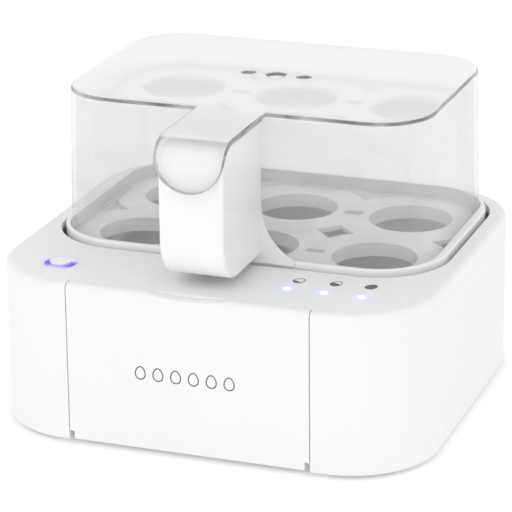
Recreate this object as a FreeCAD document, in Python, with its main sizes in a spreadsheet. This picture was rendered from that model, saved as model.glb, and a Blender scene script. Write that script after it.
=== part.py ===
import FreeCAD, Part
import Sketcher
import math
import os
import re

# Electric steamer for six eggs. Origin at the middle of the base, on the table; +Z up, -Y is the front.

DIMENSIONS = (
    # the moulded base
    ("base_width", 185.0, "base, left to right"),
    ("base_depth", 170.0, "base, front to back"),
    ("deck_top", 69.4, "table to the top of the base"),
    ("corner_radius", 37.0, "base corners seen from above"),
    ("shell_wall", 2.5, "base side walls"),
    ("deck_wall", 2.5, "base top wall"),
    ("edge_round", 2.5, "round between the base's walls and its top"),
    ("foot_height", 2.0, "gap under the base"),
    ("foot_radius", 7.0, "rubber foot"),
    ("foot_inset", 11.2, "foot centre in from the edge of the base's round corner"),
    ("foot_turn", 27.0, "foot round that corner from the front or back, degrees"),
    ("foot_cup_wall", 1.2, "cup in the base plate round a foot"),
    ("plate_wall", 2.0, "base plate"),
    ("plate_gap", 0.3, "base plate to base walls"),
    # the well in the deck
    ("side_margin", 7.0, "deck left beside the opening"),
    ("front_strip", 45.1, "deck left in front of the opening"),
    ("rear_margin", 5.9, "deck left behind the opening"),
    ("opening_radius", 31.3, "corners of the opening"),
    # the steel bowl
    ("bowl_wall", 0.8, "pressed steel"),
    ("bowl_flange", 3.0, "flange under the deck"),
    ("bowl_gasket_wall", 1.0, "silicone between flange and deck"),
    ("bowl_step", 6.0, "ledge that the carrier stands on"),
    ("ledge_drop", 11.9, "deck top down to the ledge"),
    ("bowl_depth", 22.4, "deck top down to the bowl's floor"),
    ("bowl_round", 5.0, "bend between the bowl's floor and wall"),
    # the carrier
    ("ring_gap", 1.5, "carrier ring to the opening"),
    ("ring_radius", 31.5, "corners of the carrier ring"),
    ("ring_rise", 2.5, "carrier ring above the deck"),
    ("ring_band_side", 3.2, "ring top at the sides"),
    ("ring_band_front", 2.1, "ring top at the front and back"),
    ("skirt_wall", 2.0, "carrier ring below its shelf"),
    ("recess_radius", 25.4, "corners of the recess that holds the lid"),
    ("recess_drop", 3.1, "deck top down to the recess"),
    ("recess_shelf", 2.2, "shelf thickness"),
    ("shelf_width", 2.2, "shelf that the lid's rim stands on"),
    ("rack_drop", 3.4, "deck top down to the egg rack"),
    ("rack_wall", 2.0, "egg rack plate"),
    ("rack_lip", 4.0, "lip that carries the egg rack"),
    ("rack_side_room", 0.6, "rack left beyond the outer seats at each side"),
    ("rack_front_room", 1.7, "rack left beyond the seats at the front and back"),
    ("lobe_reach", 0.4216, "rack lobe's radius as a share of the diagonal from egg to egg"),
    ("seat_radius", 18.0, "hole that an egg sits in"),
    ("collar_wall", 1.5, "collar below a seat"),
    ("collar_height", 4.0, "collar below a seat"),
    ("slot_reach", 0.69, "steam slot's length as a share of the gap between two seats"),
    ("slot_width", 4.6, "steam slot between two seats"),
    # the carrier's handle
    ("handle_width", 27.0, "handle, left to right"),
    ("handle_setback", 3.0, "handle front behind the base's front"),
    ("handle_clear", 4.1, "gap between handle and deck"),
    ("handle_wall", 2.2, "handle shell"),
    ("handle_under_radius", 17.0, "bend below the handle's front"),
    ("handle_edge", 1.6, "round along the handle's front edges"),
    ("flare_height", 22.1, "web between handle and ring, above the ring"),
    ("flare_spread", 14.5, "web beyond the handle on each side"),
    ("web_wall", 2.4, "web thickness"),
    # the lid
    ("lid_height", 63.7, "lid top above the deck"),
    ("lid_wall", 2.2, "lid wall"),
    ("lid_draft", 1.3, "lean of the lid's walls, degrees"),
    ("lid_round", 2.0, "round between the lid's walls and its top"),
    ("lid_play", 0.4, "lid to the carrier ring"),
    ("vent_pitch", 12.3, "steam vent to steam vent"),
    ("vent_radius", 3.5, "outer steam vents"),
    ("middle_vent_radius", 4.7, "middle steam vent"),
    ("tongue_width", 29.0, "lid tongue over the handle"),
    ("tongue_wall", 2.4, "lid tongue"),
    ("tongue_bend", 12.0, "outside of the tongue's bend"),
    ("tongue_tip", 20.6, "tongue tip below the lid top"),
    ("body_gap", 0.3, "between pieces that move apart"),
    # the door in the front
    ("door_width", 103.0, "door, left to right"),
    ("door_x", -1.6, "door's middle, right of the base's middle"),
    ("door_gap", 0.4, "seam at the door's sides"),
    ("door_top_gap", 0.15, "seam behind the door's top edge"),
    ("door_depth", 4.2, "door, front to back"),
    ("door_skin", 2.4, "door wall"),
    ("door_low", 2.4, "table to the door's lower edge"),
    ("door_step", 2.0, "door's lower corners, set in for the hinge lugs"),
    ("door_step_height", 3.4, "height of those lower corners"),
    ("notch_width", 36.0, "finger notch in the door's top edge"),
    ("notch_depth", 1.6, "finger notch in the door's top edge"),
    ("pin_radius", 1.5, "hinge pin"),
    ("pin_play", 0.08, "hinge pin to the door's bore"),
    ("knuckle_rise", 0.1, "door knuckle above the base's lower edge"),
    ("pin_setback", 3.5, "hinge pin behind the front face"),
    ("knuckle_wall", 1.4, "plastic round the hinge pin"),
    ("knuckle_length", 4.6, "door knuckle"),
    ("lug_length", 7.0, "lug in the base that holds the pin"),
    ("pin_hold", 5.6, "hinge pin's length in that lug"),
    # the bay behind the door
    ("bay_left", 46.0, "bay, left of the middle"),
    ("bay_right", 22.0, "bay, right of the middle"),
    ("bay_wall", 1.5, "bay liner"),
    ("bay_low", 8.0, "table to the bay's underside"),
    ("bay_roof_gap", 1.9, "bay to the underside of the deck"),
    ("bay_rear_gap", 4.6, "bay to the front of the opening"),
    ("tray_gap", 1.5, "tray to the bay's sides"),
    ("tray_reach", 32.0, "tray, front to back"),
    ("tray_height", 10.0, "tray, floor to rim"),
    ("tray_wall", 1.5, "tray"),
    ("cup_width", 36.0, "measuring cup, left to right"),
    ("cup_depth", 27.0, "measuring cup, front to back"),
    ("cup_height", 36.0, "measuring cup"),
    ("cup_wall", 1.2, "measuring cup"),
    ("cup_radius", 8.0, "corners of the measuring cup"),
    ("cup_room", 0.5, "measuring cup to the tray"),
    ("pricker_radius", 8.0, "egg pricker's foot"),
    ("needle_radius", 0.6, "egg pricker's needle"),
    ("magnet_side", 8.0, "door magnet and its striker"),
    # the controls
    ("button_x", 65.0, "button left of the middle"),
    ("button_setback", 22.5, "button behind the front face"),
    ("button_radius", 4.4, "button cap"),
    ("button_play", 0.3, "button to its light ring"),
    ("light_ring_wall", 2.05, "light ring round the button"),
    ("button_travel_space", 0.9, "button stem to the switch"),
    ("button_proud", 0.9, "button above the base"),
    ("dome_wall", 0.7, "silicone return dome under the button"),
    ("dome_foot", 1.4, "dome's foot beyond the button's cap"),
    ("dome_head", 0.2, "dome's top beyond the button's cap"),
    ("lamp_first", 33.0, "first lamp right of the middle"),
    ("lamp_pitch", 15.5, "lamp to lamp"),
    ("lamp_setback", 23.0, "lamps behind the front face"),
    ("lamp_radius", 1.7, "lamp light pipe"),
    ("board_wall", 1.6, "circuit boards"),
    ("board_drop", 8.3, "deck underside to the control board"),
    ("control_board_depth", 25.0, "control board, front to back"),
    ("button_board_width", 22.0, "button board, left to right"),
    ("button_board_depth", 18.0, "button board, front to back"),
    ("button_board_drop", 3.0, "button board below the control board"),
    ("post_bore_radius", 0.9, "small screw's hole"),
    ("board_post_radius", 1.8, "post that holds a small board"),
    # the heater
    ("spreader_radius", 46.0, "aluminium plate under the bowl"),
    ("spreader_wall", 3.0, "aluminium plate under the bowl"),
    ("element_radius", 34.0, "heating element's ring"),
    ("element_tube", 3.3, "heating element's tube"),
    ("terminal_drop", 6.0, "middle of the element's tube to the foot of its terminals"),
    ("thermostat_radius", 8.0, "thermostat's can"),
    ("thermostat_height", 6.0, "thermostat's can"),
    ("strap_wall", 0.8, "strap that holds the thermostat"),
    ("strap_half", 14.0, "half the strap's length"),
    ("fuse_radius", 2.0, "thermal fuse"),
    ("fuse_length", 14.0, "thermal fuse"),
    ("shield_gap", 0.6, "heat shield to the terminals above it"),
    ("shield_wall", 0.8, "heat shield"),
    ("shield_margin", 8.0, "heat shield in from the opening at the sides"),
    ("shield_foot", 9.0, "heat shield's feet"),
    # the power board on the base plate
    ("power_lift", 7.7, "base plate to the power board"),
    ("power_width", 70.0, "power board, left to right"),
    ("power_depth", 42.0, "power board, front to back"),
    ("relay_fill", 0.8, "relay, share of the height under the shield"),
    ("transformer_fill", 0.9, "transformer, share of the height under the shield"),
    ("capacitor_fill", 0.75, "capacitor, share of the height under the shield"),
    ("terminal_fill", 0.58, "terminal block, share of the height under the shield"),
    # fasteners and the cable entry
    ("screw_radius", 1.25, "self-tapping screw"),
    ("screw_head_radius", 2.7, "screw head"),
    ("screw_head_height", 1.8, "screw head"),
    ("boss_radius", 3.5, "screw boss"),
    ("side_boss_height", 30.0, "screw boss on a side wall"),
    ("post_radius", 3.2, "post below the bowl's ledge"),
    ("gland_radius", 3.5, "bore of the cable gland"),
    ("gland_wall", 1.2, "cable gland"),
    ("gland_x", 40.0, "cable gland right of the middle"),
    ("gland_height", 16.0, "cable gland above the table"),
)

document = FreeCAD.newDocument("egg_cooker")
sheet = document.addObject("Spreadsheet::Sheet", "sizes")
for line, (alias, amount, meaning) in enumerate(DIMENSIONS, 1):
    sheet.set(f"A{line}", meaning)
    sheet.set(f"B{line}", str(amount))
    sheet.setAlias(f"B{line}", alias)
document.recompute()

ALIASES = {alias for alias, amount, meaning in DIMENSIONS}
WORD = re.compile(r"[a-z][a-z_0-9]*")

# Places that several pieces share, each a formula on the sheet's values.
DECK_UNDER = "(deck_top - deck_wall)"
FRONT = "(-base_depth/2)"
OPENING_W = "(base_width - 2*side_margin)"
OPENING_D = "(base_depth - front_strip - rear_margin)"
WELL_Y = "((front_strip - rear_margin)/2)"
LEDGE = "(deck_top - ledge_drop)"
BOWL_FLOOR = "(deck_top - bowl_depth)"
RING_W = f"({OPENING_W} - 2*ring_gap)"
RING_D = f"({OPENING_D} - 2*ring_gap)"
RING_TOP = "(deck_top + ring_rise)"
RECESS_W = f"({RING_W} - 2*ring_band_side)"
RECESS_D = f"({RING_D} - 2*ring_band_front)"
RECESS_Z = "(deck_top - recess_drop)"
RACK_TOP = "(deck_top - rack_drop)"
LID_TOP = "(deck_top + lid_height)"
LID_W = f"({RECESS_W} - 2*lid_play)"
LID_D = f"({RECESS_D} - 2*lid_play)"
RING_FRONT = f"({WELL_Y} - {RING_D}/2)"
RECESS_FRONT = f"({WELL_Y} - {RECESS_D}/2)"
HANDLE_FRONT = f"({FRONT} + handle_setback)"
HANDLE_LOW = "(deck_top + handle_clear)"
HANDLE_TOP = f"({LID_TOP} - tongue_wall - body_gap)"
TONGUE_FRONT = f"({HANDLE_FRONT} - body_gap - tongue_wall)"
PLATE_TOP = "(foot_height + plate_gap + plate_wall)"
SCREW_PAD_TOP = f"({PLATE_TOP} + 2)"
PIN_Y = f"({FRONT} + pin_setback)"
BAY_FRONT = f"({FRONT} + door_depth + door_gap)"
BAY_REAR = f"({WELL_Y} - {OPENING_D}/2 - bay_rear_gap)"
BAY_TOP = f"({DECK_UNDER} - bay_roof_gap)"
DOOR_BACK = f"({FRONT} + door_depth)"
DOOR_INSIDE = f"({FRONT} + door_skin)"
BOARD_TOP = f"({DECK_UNDER} - board_drop)"
BUTTON_Y = f"({FRONT} + button_setback)"
LAMP_Y = f"({FRONT} + lamp_setback)"
SPREADER_LOW = f"({BOWL_FLOOR} - bowl_wall - spreader_wall)"
ELEMENT_Z = f"({SPREADER_LOW} - element_tube)"
SHIELD_LOW = f"({ELEMENT_Z} - terminal_drop - shield_gap - shield_wall)"
POWER_LOW = f"({PLATE_TOP} + power_lift)"
POWER_TOP = f"({POWER_LOW} + board_wall)"
POWER_ROOM = f"({SHIELD_LOW} - {POWER_TOP})"
POWER_Y = f"({WELL_Y} + 4.4)"
KNUCKLE = "(pin_radius + knuckle_wall)"
PIN_Z = f"(foot_height + knuckle_rise + {KNUCKLE})"
DOORWAY_LEFT = "(door_x - door_width/2 - door_gap)"
DOORWAY_RIGHT = "(door_x + door_width/2 + door_gap)"
DOORWAY_WIDTH = "(door_width + 2*door_gap)"
BUTTON_BOARD_TOP = f"({BOARD_TOP} - button_board_drop)"
PITCH_X = f"(({RECESS_W} - 2*shelf_width - 2*rack_side_room)/3)"
PITCH_Y = f"(({RECESS_D} - 2*shelf_width - 2*rack_front_room)/2)"
LOBE_RADIUS = f"(lobe_reach*sqrt({PITCH_X}*{PITCH_X} + {PITCH_Y}*{PITCH_Y}))"
SLOT_LENGTH = f"(slot_reach*({PITCH_X} - 2*seat_radius - 2*collar_wall))"
TRAY_LEFT = "(bay_wall + tray_gap - bay_left)"
TRAY_WIDTH = "(bay_left + bay_right - 2*bay_wall - 2*tray_gap)"
TRAY_LOW = "(bay_low + bay_wall + 0.5)"
TRAY_FLOOR = f"({TRAY_LOW} + tray_wall)"
CUP_X = "(bay_right - bay_wall - tray_gap - tray_wall - cup_room - cup_width/2)"
CUP_Y = f"({DOOR_INSIDE} + tray_wall + cup_room + cup_depth/2)"
MAGNET_X = "(door_x + door_width/3 - magnet_side/2)"
MAGNET_Z = f"({BAY_TOP} - magnet_side - 7)"
COVER_BACK = f"({RING_FRONT} + 0.6)"
COVER_FRONT = f"({RING_FRONT} - 1.4)"
NODES = []


def formula(text):
    """Writes a formula on aliases as one that the document's expressions understand."""
    return WORD.sub(lambda word: "sizes." + word[0] if word[0] in ALIASES else word[0], str(text))


def amount_of(text):
    """The value of a formula, in millimetres or degrees."""
    return float(sheet.evalExpression(formula(text)))


def bind(item, path, text):
    item.setExpression(path, formula(text))


def node(item, label):
    """Names a finished piece; each piece is written to a file of that name."""
    item.Label = label
    NODES.append(item)
    return item


# Sketches and PartDesign features


def new_body(name):
    body = document.addObject("PartDesign::Body", name)
    document.recompute()
    return body


def new_sketch(body, role, x="0", y="0", z="0"):
    """An empty sketch on one of the body's own planes, moved by formulas in the sketch's own axes."""
    sketch = body.newObject("Sketcher::SketchObject", body.Name + "_sketch")
    support = next(item for item in body.Origin.OriginFeatures if item.Role == role)
    sketch.AttachmentSupport = [(support, "")]
    sketch.MapMode = "FlatFace"
    for axis, text in (("x", x), ("y", y), ("z", z)):
        bind(sketch, f"AttachmentOffset.Base.{axis}", text)
    return sketch


def dimension(sketch, kind, where, text):
    """A driving dimension of the sketch, bound to a formula."""
    index = sketch.addConstraint(Sketcher.Constraint(kind, *where, amount_of(text)))
    bind(sketch, f"Constraints[{index}]", text)


def rounded_sketch(body, role, width, depth, radius, x="0", y="0", z="0"):
    """A rectangle with round corners, centred on the sketch's origin."""
    sketch = new_sketch(body, role, x, y, z)
    right = amount_of(width) / 2
    back = amount_of(depth) / 2
    r = amount_of(radius)
    point = FreeCAD.Vector
    sides = (
        (point(r - right, -back), point(right - r, -back)),
        (point(right, r - back), point(right, back - r)),
        (point(right - r, back), point(r - right, back)),
        (point(-right, back - r), point(-right, r - back)),
    )
    centres = ((right - r, r - back), (right - r, back - r), (r - right, back - r), (r - right, r - back))
    shapes = [Part.LineSegment(*ends) for ends in sides]
    for quarter, centre in enumerate(centres):
        start = math.pi / 2 * (quarter - 1)
        circle = Part.Circle(point(*centre), point(0, 0, 1), r)
        shapes.append(Part.ArcOfCircle(circle, start, start + math.pi / 2))
    sketch.addGeometry(shapes, False)
    rules = [Sketcher.Constraint(kind, side) for side, kind in enumerate(("Horizontal", "Vertical") * 2)]
    for side in range(4):
        rules.append(Sketcher.Constraint("Tangent", side, 2, side + 4, 1))
        rules.append(Sketcher.Constraint("Tangent", side + 4, 2, (side + 1) % 4, 1))
    rules += [Sketcher.Constraint("Equal", 4, corner) for corner in (5, 6, 7)]
    rules.append(Sketcher.Constraint("Symmetric", 0, 1, 2, 1, -1, 1))
    sketch.addConstraint(rules)
    dimension(sketch, "Radius", (4,), radius)
    dimension(sketch, "DistanceX", (0, 1, 0, 2), f"{width} - 2*{radius}")
    dimension(sketch, "DistanceY", (1, 1, 1, 2), f"{depth} - 2*{radius}")
    return sketch


def outline_sketch(body, role, corners, z="0"):
    """A closed outline. A corner is (x, y), or (x, y, centre_x, centre_y, turn) where an arc arrives at it."""
    sketch = new_sketch(body, role, z=z)
    places = [FreeCAD.Vector(amount_of(corner[0]), amount_of(corner[1])) for corner in corners]
    for index, corner in enumerate(corners):
        start = places[index - 1]
        end = places[index]
        if len(corner) == 2:
            sketch.addGeometry(Part.LineSegment(start, end), False)
            continue
        centre = FreeCAD.Vector(amount_of(corner[2]), amount_of(corner[3]))
        circle = Part.Circle(centre, FreeCAD.Vector(0, 0, 1), (end - centre).Length)
        angles = [math.atan2((p - centre).y, (p - centre).x) for p in (start, end)]
        if corner[4] < 0:
            angles.reverse()
        sketch.addGeometry(Part.ArcOfCircle(circle, *angles), False)
    count = len(corners)
    arrive = [1 if len(corner) == 5 and corner[4] < 0 else 2 for corner in corners]
    leave = [3 - side for side in arrive]
    for index, corner in enumerate(corners):
        following = (index + 1) % count
        sketch.addConstraint(
            Sketcher.Constraint("Coincident", index, arrive[index], following, leave[following])
        )
        dimension(sketch, "DistanceX", (-1, 1, index, arrive[index]), corner[0])
        dimension(sketch, "DistanceY", (-1, 1, index, arrive[index]), corner[1])
        if len(corner) == 5:
            chord = places[index] - places[index - 1]
            across = abs(chord.y) < abs(chord.x)
            kind, text = ("DistanceY", corner[3]) if across else ("DistanceX", corner[2])
            dimension(sketch, kind, (-1, 1, index, 3), text)
    return sketch


def extrude(body, kind, sketch, length, side="One side", reverse=False, draft=None):
    """A Pad or a Pocket of a sketch."""
    feature = body.newObject("PartDesign::" + kind, body.Name + "_" + kind.lower())
    feature.Profile = sketch
    feature.SideType = side
    feature.Reversed = reverse
    bind(feature, "Length", length)
    if draft:
        bind(feature, "TaperAngle", draft)
    document.recompute()
    return feature


def round_edges(body, radius, chosen):
    """Rounds the edges of the body so far that the test picks."""
    base = body.Tip
    names = [f"Edge{n}" for n, edge in enumerate(base.Shape.Edges, 1) if chosen(edge.BoundBox)]
    if not names:
        raise ValueError(f"no edge to round on {body.Name}")
    feature = body.newObject("PartDesign::Fillet", body.Name + "_round")
    feature.Base = (base, names)
    bind(feature, "Radius", radius)
    document.recompute()


def at_height(height):
    """Picks level edges at one height."""
    level = amount_of(height)
    return lambda box: abs(box.ZMin - level) < 1e-4 and abs(box.ZMax - level) < 1e-4


def prism(name, width, depth, radius, low, height, x="0", y="0", draft=None, round_top=None, round_low=None):
    """An upright block with round corners, which may lean in and have its top or bottom edges rounded."""
    body = new_body(name)
    sketch = rounded_sketch(body, "XY_Plane", width, depth, radius, x, y, low)
    extrude(body, "Pad", sketch, height, draft=draft)
    if round_top:
        round_edges(body, round_top, at_height(f"{low} + {height}"))
    if round_low:
        round_edges(body, round_low, at_height(low))
    return body


# Part primitives and booleans


def block(name, x, y, z, width, depth, height):
    """A box from its lowest corner."""
    item = document.addObject("Part::Box", name)
    for path, text in (("Length", width), ("Width", depth), ("Height", height)):
        bind(item, path, text)
    for axis, text in (("x", x), ("y", y), ("z", z)):
        bind(item, f"Placement.Base.{axis}", text)
    return item


TURNS = {
    "x": FreeCAD.Rotation(FreeCAD.Vector(0, 1, 0), 90),
    "y": FreeCAD.Rotation(FreeCAD.Vector(1, 0, 0), -90),
    "z": FreeCAD.Rotation(),
}


def rod(name, x, y, z, radius, length, along="z"):
    """A cylinder from the middle of its first face, along +X, +Y or +Z."""
    item = document.addObject("Part::Cylinder", name)
    item.Placement = FreeCAD.Placement(FreeCAD.Vector(), TURNS[along])
    bind(item, "Radius", radius)
    bind(item, "Height", length)
    for axis, text in (("x", x), ("y", y), ("z", z)):
        bind(item, f"Placement.Base.{axis}", text)
    return item


def cone(name, x, y, z, low_radius, top_radius, height):
    item = document.addObject("Part::Cone", name)
    for path, text in (("Radius1", low_radius), ("Radius2", top_radius), ("Height", height)):
        bind(item, path, text)
    for axis, text in (("x", x), ("y", y), ("z", z)):
        bind(item, f"Placement.Base.{axis}", text)
    return item


def joined(name, items):
    item = document.addObject("Part::MultiFuse", name)
    item.Shapes = items
    item.Refine = True
    return item


def without(name, base, tools):
    """The base with every tool cut away."""
    item = document.addObject("Part::Cut", name)
    item.Base = base
    item.Tool = tools[0] if len(tools) == 1 else joined(name + "_tools", tools)
    item.Refine = True
    return item


def shared(name, first, second):
    item = document.addObject("Part::MultiCommon", name)
    item.Shapes = [first, second]
    item.Refine = True
    return item


def group(name, items):
    """Separate solids kept in one node."""
    item = document.addObject("Part::Compound", name)
    item.Links = items
    return item


def tube(name, x, y, z, outer, inner, length, along="z"):
    return without(name, rod(name + "_rod", x, y, z, outer, length, along),
                   [rod(name + "_bore", x, y, z, inner, length, along)])


def screw(name, x, y, z, length, along="z"):
    """A pan-head screw with a cross slot; its head's face is at the given place."""
    head = rod(name + "_head", x, y, z, "screw_head_radius", "screw_head_height", along)
    shank_y = f"{y} + screw_head_height" if along == "y" else y
    shank_z = f"{z} + screw_head_height" if along == "z" else z
    shank = rod(name + "_shank", x, shank_y, shank_z, "screw_radius", length, along)
    if along == "z":
        slots = [block(name + "_slot_a", f"{x} - 1.7", f"{y} - 0.3", z, 3.4, 0.6, 1.0),
                 block(name + "_slot_b", f"{x} - 0.3", f"{y} - 1.7", z, 0.6, 3.4, 1.0)]
    else:
        slots = [block(name + "_slot_a", f"{x} - 1.7", y, f"{z} - 0.3", 3.4, 1.0, 0.6),
                 block(name + "_slot_b", f"{x} - 0.3", y, f"{z} - 1.7", 0.6, 1.0, 3.4)]
    return without(name, joined(name + "_solid", [head, shank]), slots)


def both_sides(x, y):
    return [(f"({x})", y), (f"(-{x})", y)]


# Places of things that come in sets

FOOT_X = "(base_width/2 - corner_radius + (corner_radius - foot_inset)*sin(foot_turn))"
FOOT_Y = "(base_depth/2 - corner_radius + (corner_radius - foot_inset)*cos(foot_turn))"
FEET = [place for y in (f"(-{FOOT_Y})", FOOT_Y) for place in both_sides(FOOT_X, y)]
FRONT_BOSS = both_sides("(base_width/2 - 16.5)", f"({FRONT} + 39)")
SIDE_BOSS = both_sides("(base_width/2 - shell_wall - boss_radius - 0.9)", f"({WELL_Y} + 5.4)")
POSTS = [place for y in (f"({WELL_Y} - 24.6)", f"({WELL_Y} + 35.4)")
         for place in both_sides("(base_width/2 - shell_wall - post_radius - 1.6)", y)]
POWER_POSTS = [(x, y) for y in (f"({POWER_Y} + 4)", f"({POWER_Y} + power_depth - 4)")
               for x in ("(4 - power_width/2)", "(power_width/2 - 4)")]
GRIP_SCREWS = [f"({HANDLE_LOW} + 12)", f"({HANDLE_TOP} - 12)"]
CONTROL_POSTS = [("(lamp_first - 3)", f"({LAMP_Y} + 11)"), ("(lamp_first + 24)", f"({LAMP_Y} - 8.3)")]
BUTTON_POSTS = [("(-button_x - 8.6)", f"({BUTTON_Y} + 5.4)"), ("(7.6 - button_x)", f"({BUTTON_Y} - 7.6)")]
LAMPS = [(f"(lamp_first + {n}*lamp_pitch)", LAMP_Y) for n in range(3)]
SEATS = [(f"({column}*{PITCH_X})", f"({WELL_Y} + {row}*{PITCH_Y})")
         for row in (-0.5, 0.5) for column in (-1, 0, 1)]
SLOTS = [(f"({column}*{PITCH_X})", f"({WELL_Y} + {row}*{PITCH_Y})")
         for row in (-0.5, 0.5) for column in (-0.5, 0.5)]


# The base


def make_base_housing():
    shell_height = "(deck_top - foot_height)"
    outer = prism("housing_outer", "base_width", "base_depth", "corner_radius", "foot_height", shell_height,
                  round_top="edge_round")
    inner = prism("housing_inner", "base_width - 2*shell_wall", "base_depth - 2*shell_wall",
                  "(corner_radius - shell_wall)", "(foot_height - 1)", f"({DECK_UNDER} - foot_height + 1)")
    opening = prism("housing_opening", OPENING_W, OPENING_D, "opening_radius", f"({DECK_UNDER} - 1)",
                    "(deck_wall + 2)", y=WELL_Y)
    hollow = without("housing_hollow", outer, [inner, opening])
    front = block("housing_doorway", DOORWAY_LEFT, f"({FRONT} - 1)", "(foot_height - 1)", DOORWAY_WIDTH,
                  "(door_depth + door_top_gap + 1)", "deck_top")
    solids = [without("housing_shell", hollow, [front])]
    for n, (x, y) in enumerate(FRONT_BOSS):
        solids.append(rod(f"front_boss_{n}", x, y, SCREW_PAD_TOP, "boss_radius",
                          f"({DECK_UNDER} - {SCREW_PAD_TOP} + 1)"))
    for n, (x, y) in enumerate(SIDE_BOSS):
        solids.append(rod(f"side_boss_{n}", x, y, SCREW_PAD_TOP, "boss_radius", "side_boss_height"))
        rib_x = x if n == 0 else f"({x} - boss_radius - 1.5)"
        solids.append(block(f"side_boss_rib_{n}", rib_x, f"({y} - 1.2)", SCREW_PAD_TOP, "(boss_radius + 1.5)",
                            2.4, "side_boss_height"))
    for n, (x, y) in enumerate(CONTROL_POSTS + BUTTON_POSTS):
        low = BOARD_TOP if n < 2 else BUTTON_BOARD_TOP
        solids.append(rod(f"board_post_{n}", x, y, low, "board_post_radius", f"({DECK_UNDER} - {low} + 1)"))
    sleeve = "(button_radius + button_play + light_ring_wall)"
    solids.append(rod("button_sleeve", "(-button_x)", BUTTON_Y, f"({DECK_UNDER} - 6)", f"({sleeve} + 1.2)", 7))
    lug_size = f"(2*{KNUCKLE})"
    for n, x in enumerate((DOORWAY_RIGHT, f"({DOORWAY_LEFT} - lug_length)")):
        solids.append(block(f"hinge_lug_{n}", x, f"({PIN_Y} - 0.9*{KNUCKLE})", "foot_height", "lug_length",
                            lug_size, lug_size))
    cuts = [rod("button_hole", "(-button_x)", BUTTON_Y, f"({DECK_UNDER} - 7)", sleeve, 12)]
    for n, (x, y) in enumerate(LAMPS):
        cuts.append(rod(f"lamp_hole_{n}", x, y, f"({DECK_UNDER} - 1)", "lamp_radius", 5))
    for n, (x, y) in enumerate(FRONT_BOSS + SIDE_BOSS):
        cuts.append(rod(f"boss_bore_{n}", x, y, f"({SCREW_PAD_TOP} - 1)", "screw_radius", 12))
    for n, (x, y) in enumerate(CONTROL_POSTS + BUTTON_POSTS):
        low = BOARD_TOP if n < 2 else BUTTON_BOARD_TOP
        cuts.append(rod(f"post_bore_{n}", x, y, f"({low} - 1)", "post_bore_radius", 6))
    cuts.append(rod("pin_bore", f"({DOORWAY_LEFT} - pin_hold)", PIN_Y, PIN_Z, "pin_radius",
                    f"({DOORWAY_WIDTH} + 2*pin_hold)", "x"))
    cuts.append(rod("gland_hole", "gland_x", "(base_depth/2 - shell_wall - 1)", "gland_height",
                    "(gland_radius + gland_wall)", "(shell_wall + 2)", "y"))
    return node(without("housing", joined("housing_solids", solids), cuts), "base_housing")


def make_base_plate():
    low = "(foot_height + plate_gap)"
    across = "(base_width - 2*shell_wall - 2*plate_gap)"
    along = "(base_depth - 2*shell_wall - 2*plate_gap)"
    radius = "(corner_radius - shell_wall - plate_gap)"
    solids = [prism("plate_sheet", across, along, radius, low, "plate_wall")]
    for n, (x, y) in enumerate(FRONT_BOSS + SIDE_BOSS):
        solids.append(rod(f"plate_pad_{n}", x, y, low, "boss_radius", f"({SCREW_PAD_TOP} - {low})"))
    post_top = f"({LEDGE} - bowl_wall - 2)"
    for n, (x, y) in enumerate(POSTS):
        solids.append(rod(f"plate_post_{n}", x, y, low, "post_radius", f"({post_top} - {low})"))
    for n, (x, y) in enumerate(POWER_POSTS):
        solids.append(rod(f"plate_power_post_{n}", x, y, low, 3, f"({POWER_LOW} - {low})"))
    for n, x in enumerate(("(-bay_left + 8)", "(bay_right - 10)")):
        solids.append(block(f"plate_rib_{n}", x, f"({BAY_FRONT} + 10)", low, 2, 20, f"(bay_low - {low})"))
    for n, (x, y) in enumerate(FEET):
        solids.append(rod(f"plate_foot_cup_{n}", x, y, low, "(foot_radius + foot_cup_wall)",
                          "(plate_wall + 1.2)"))
    cuts = [block("plate_doorway", f"({DOORWAY_LEFT} - lug_length - 1)", f"({FRONT} - 1)", 0,
                  f"({DOORWAY_WIDTH} + 2*lug_length + 2)",
                  f"(pin_setback + 1.1*{KNUCKLE} + plate_gap + 1)", 20)]
    for n, (x, y) in enumerate(FEET):
        cuts.append(rod(f"plate_foot_recess_{n}", x, y, 0, "foot_radius", f"({low} + 1.2)"))
    for n, (x, y) in enumerate(FRONT_BOSS + SIDE_BOSS):
        cuts.append(rod(f"plate_head_recess_{n}", x, y, 0, "(screw_head_radius + 0.2)",
                        f"({low} + 0.3 + screw_head_height)"))
        cuts.append(rod(f"plate_screw_hole_{n}", x, y, 0, "(screw_radius + 0.3)", 10))
    for n, (x, y) in enumerate(POWER_POSTS):
        cuts.append(rod(f"plate_power_bore_{n}", x, y, 4, "screw_radius", 10))
    for n in range(9):
        cuts.append(block(f"plate_vent_{n}", f"({n - 4}*9 - 1.5)", f"({WELL_Y} - 22)", 0, 3, 26, 10))
    return node(without("plate", joined("plate_solids", solids), cuts), "base_plate")


def make_base_fasteners():
    head_low = "(foot_height + plate_gap + 0.3)"
    screws = [screw(f"base_screw_{n}", x, y, head_low, 11) for n, (x, y) in enumerate(FRONT_BOSS + SIDE_BOSS)]
    node(group("base_screw_set", screws), "base_screws")
    feet = [make_foot(n, x, y) for n, (x, y) in enumerate(FEET)]
    node(group("foot_set", feet), "rubber_feet")


def make_foot(n, x, y):
    """A round rubber foot whose lower edge is chamfered."""
    chamfer = 0.6
    upper = rod(f"foot_{n}_upper", x, y, chamfer, "foot_radius", f"(foot_height + plate_gap + 1.2 - {chamfer})")
    lower = cone(f"foot_{n}_lower", x, y, 0, f"(foot_radius - {chamfer})", "foot_radius", chamfer)
    return joined(f"foot_{n}", [upper, lower])


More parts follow.
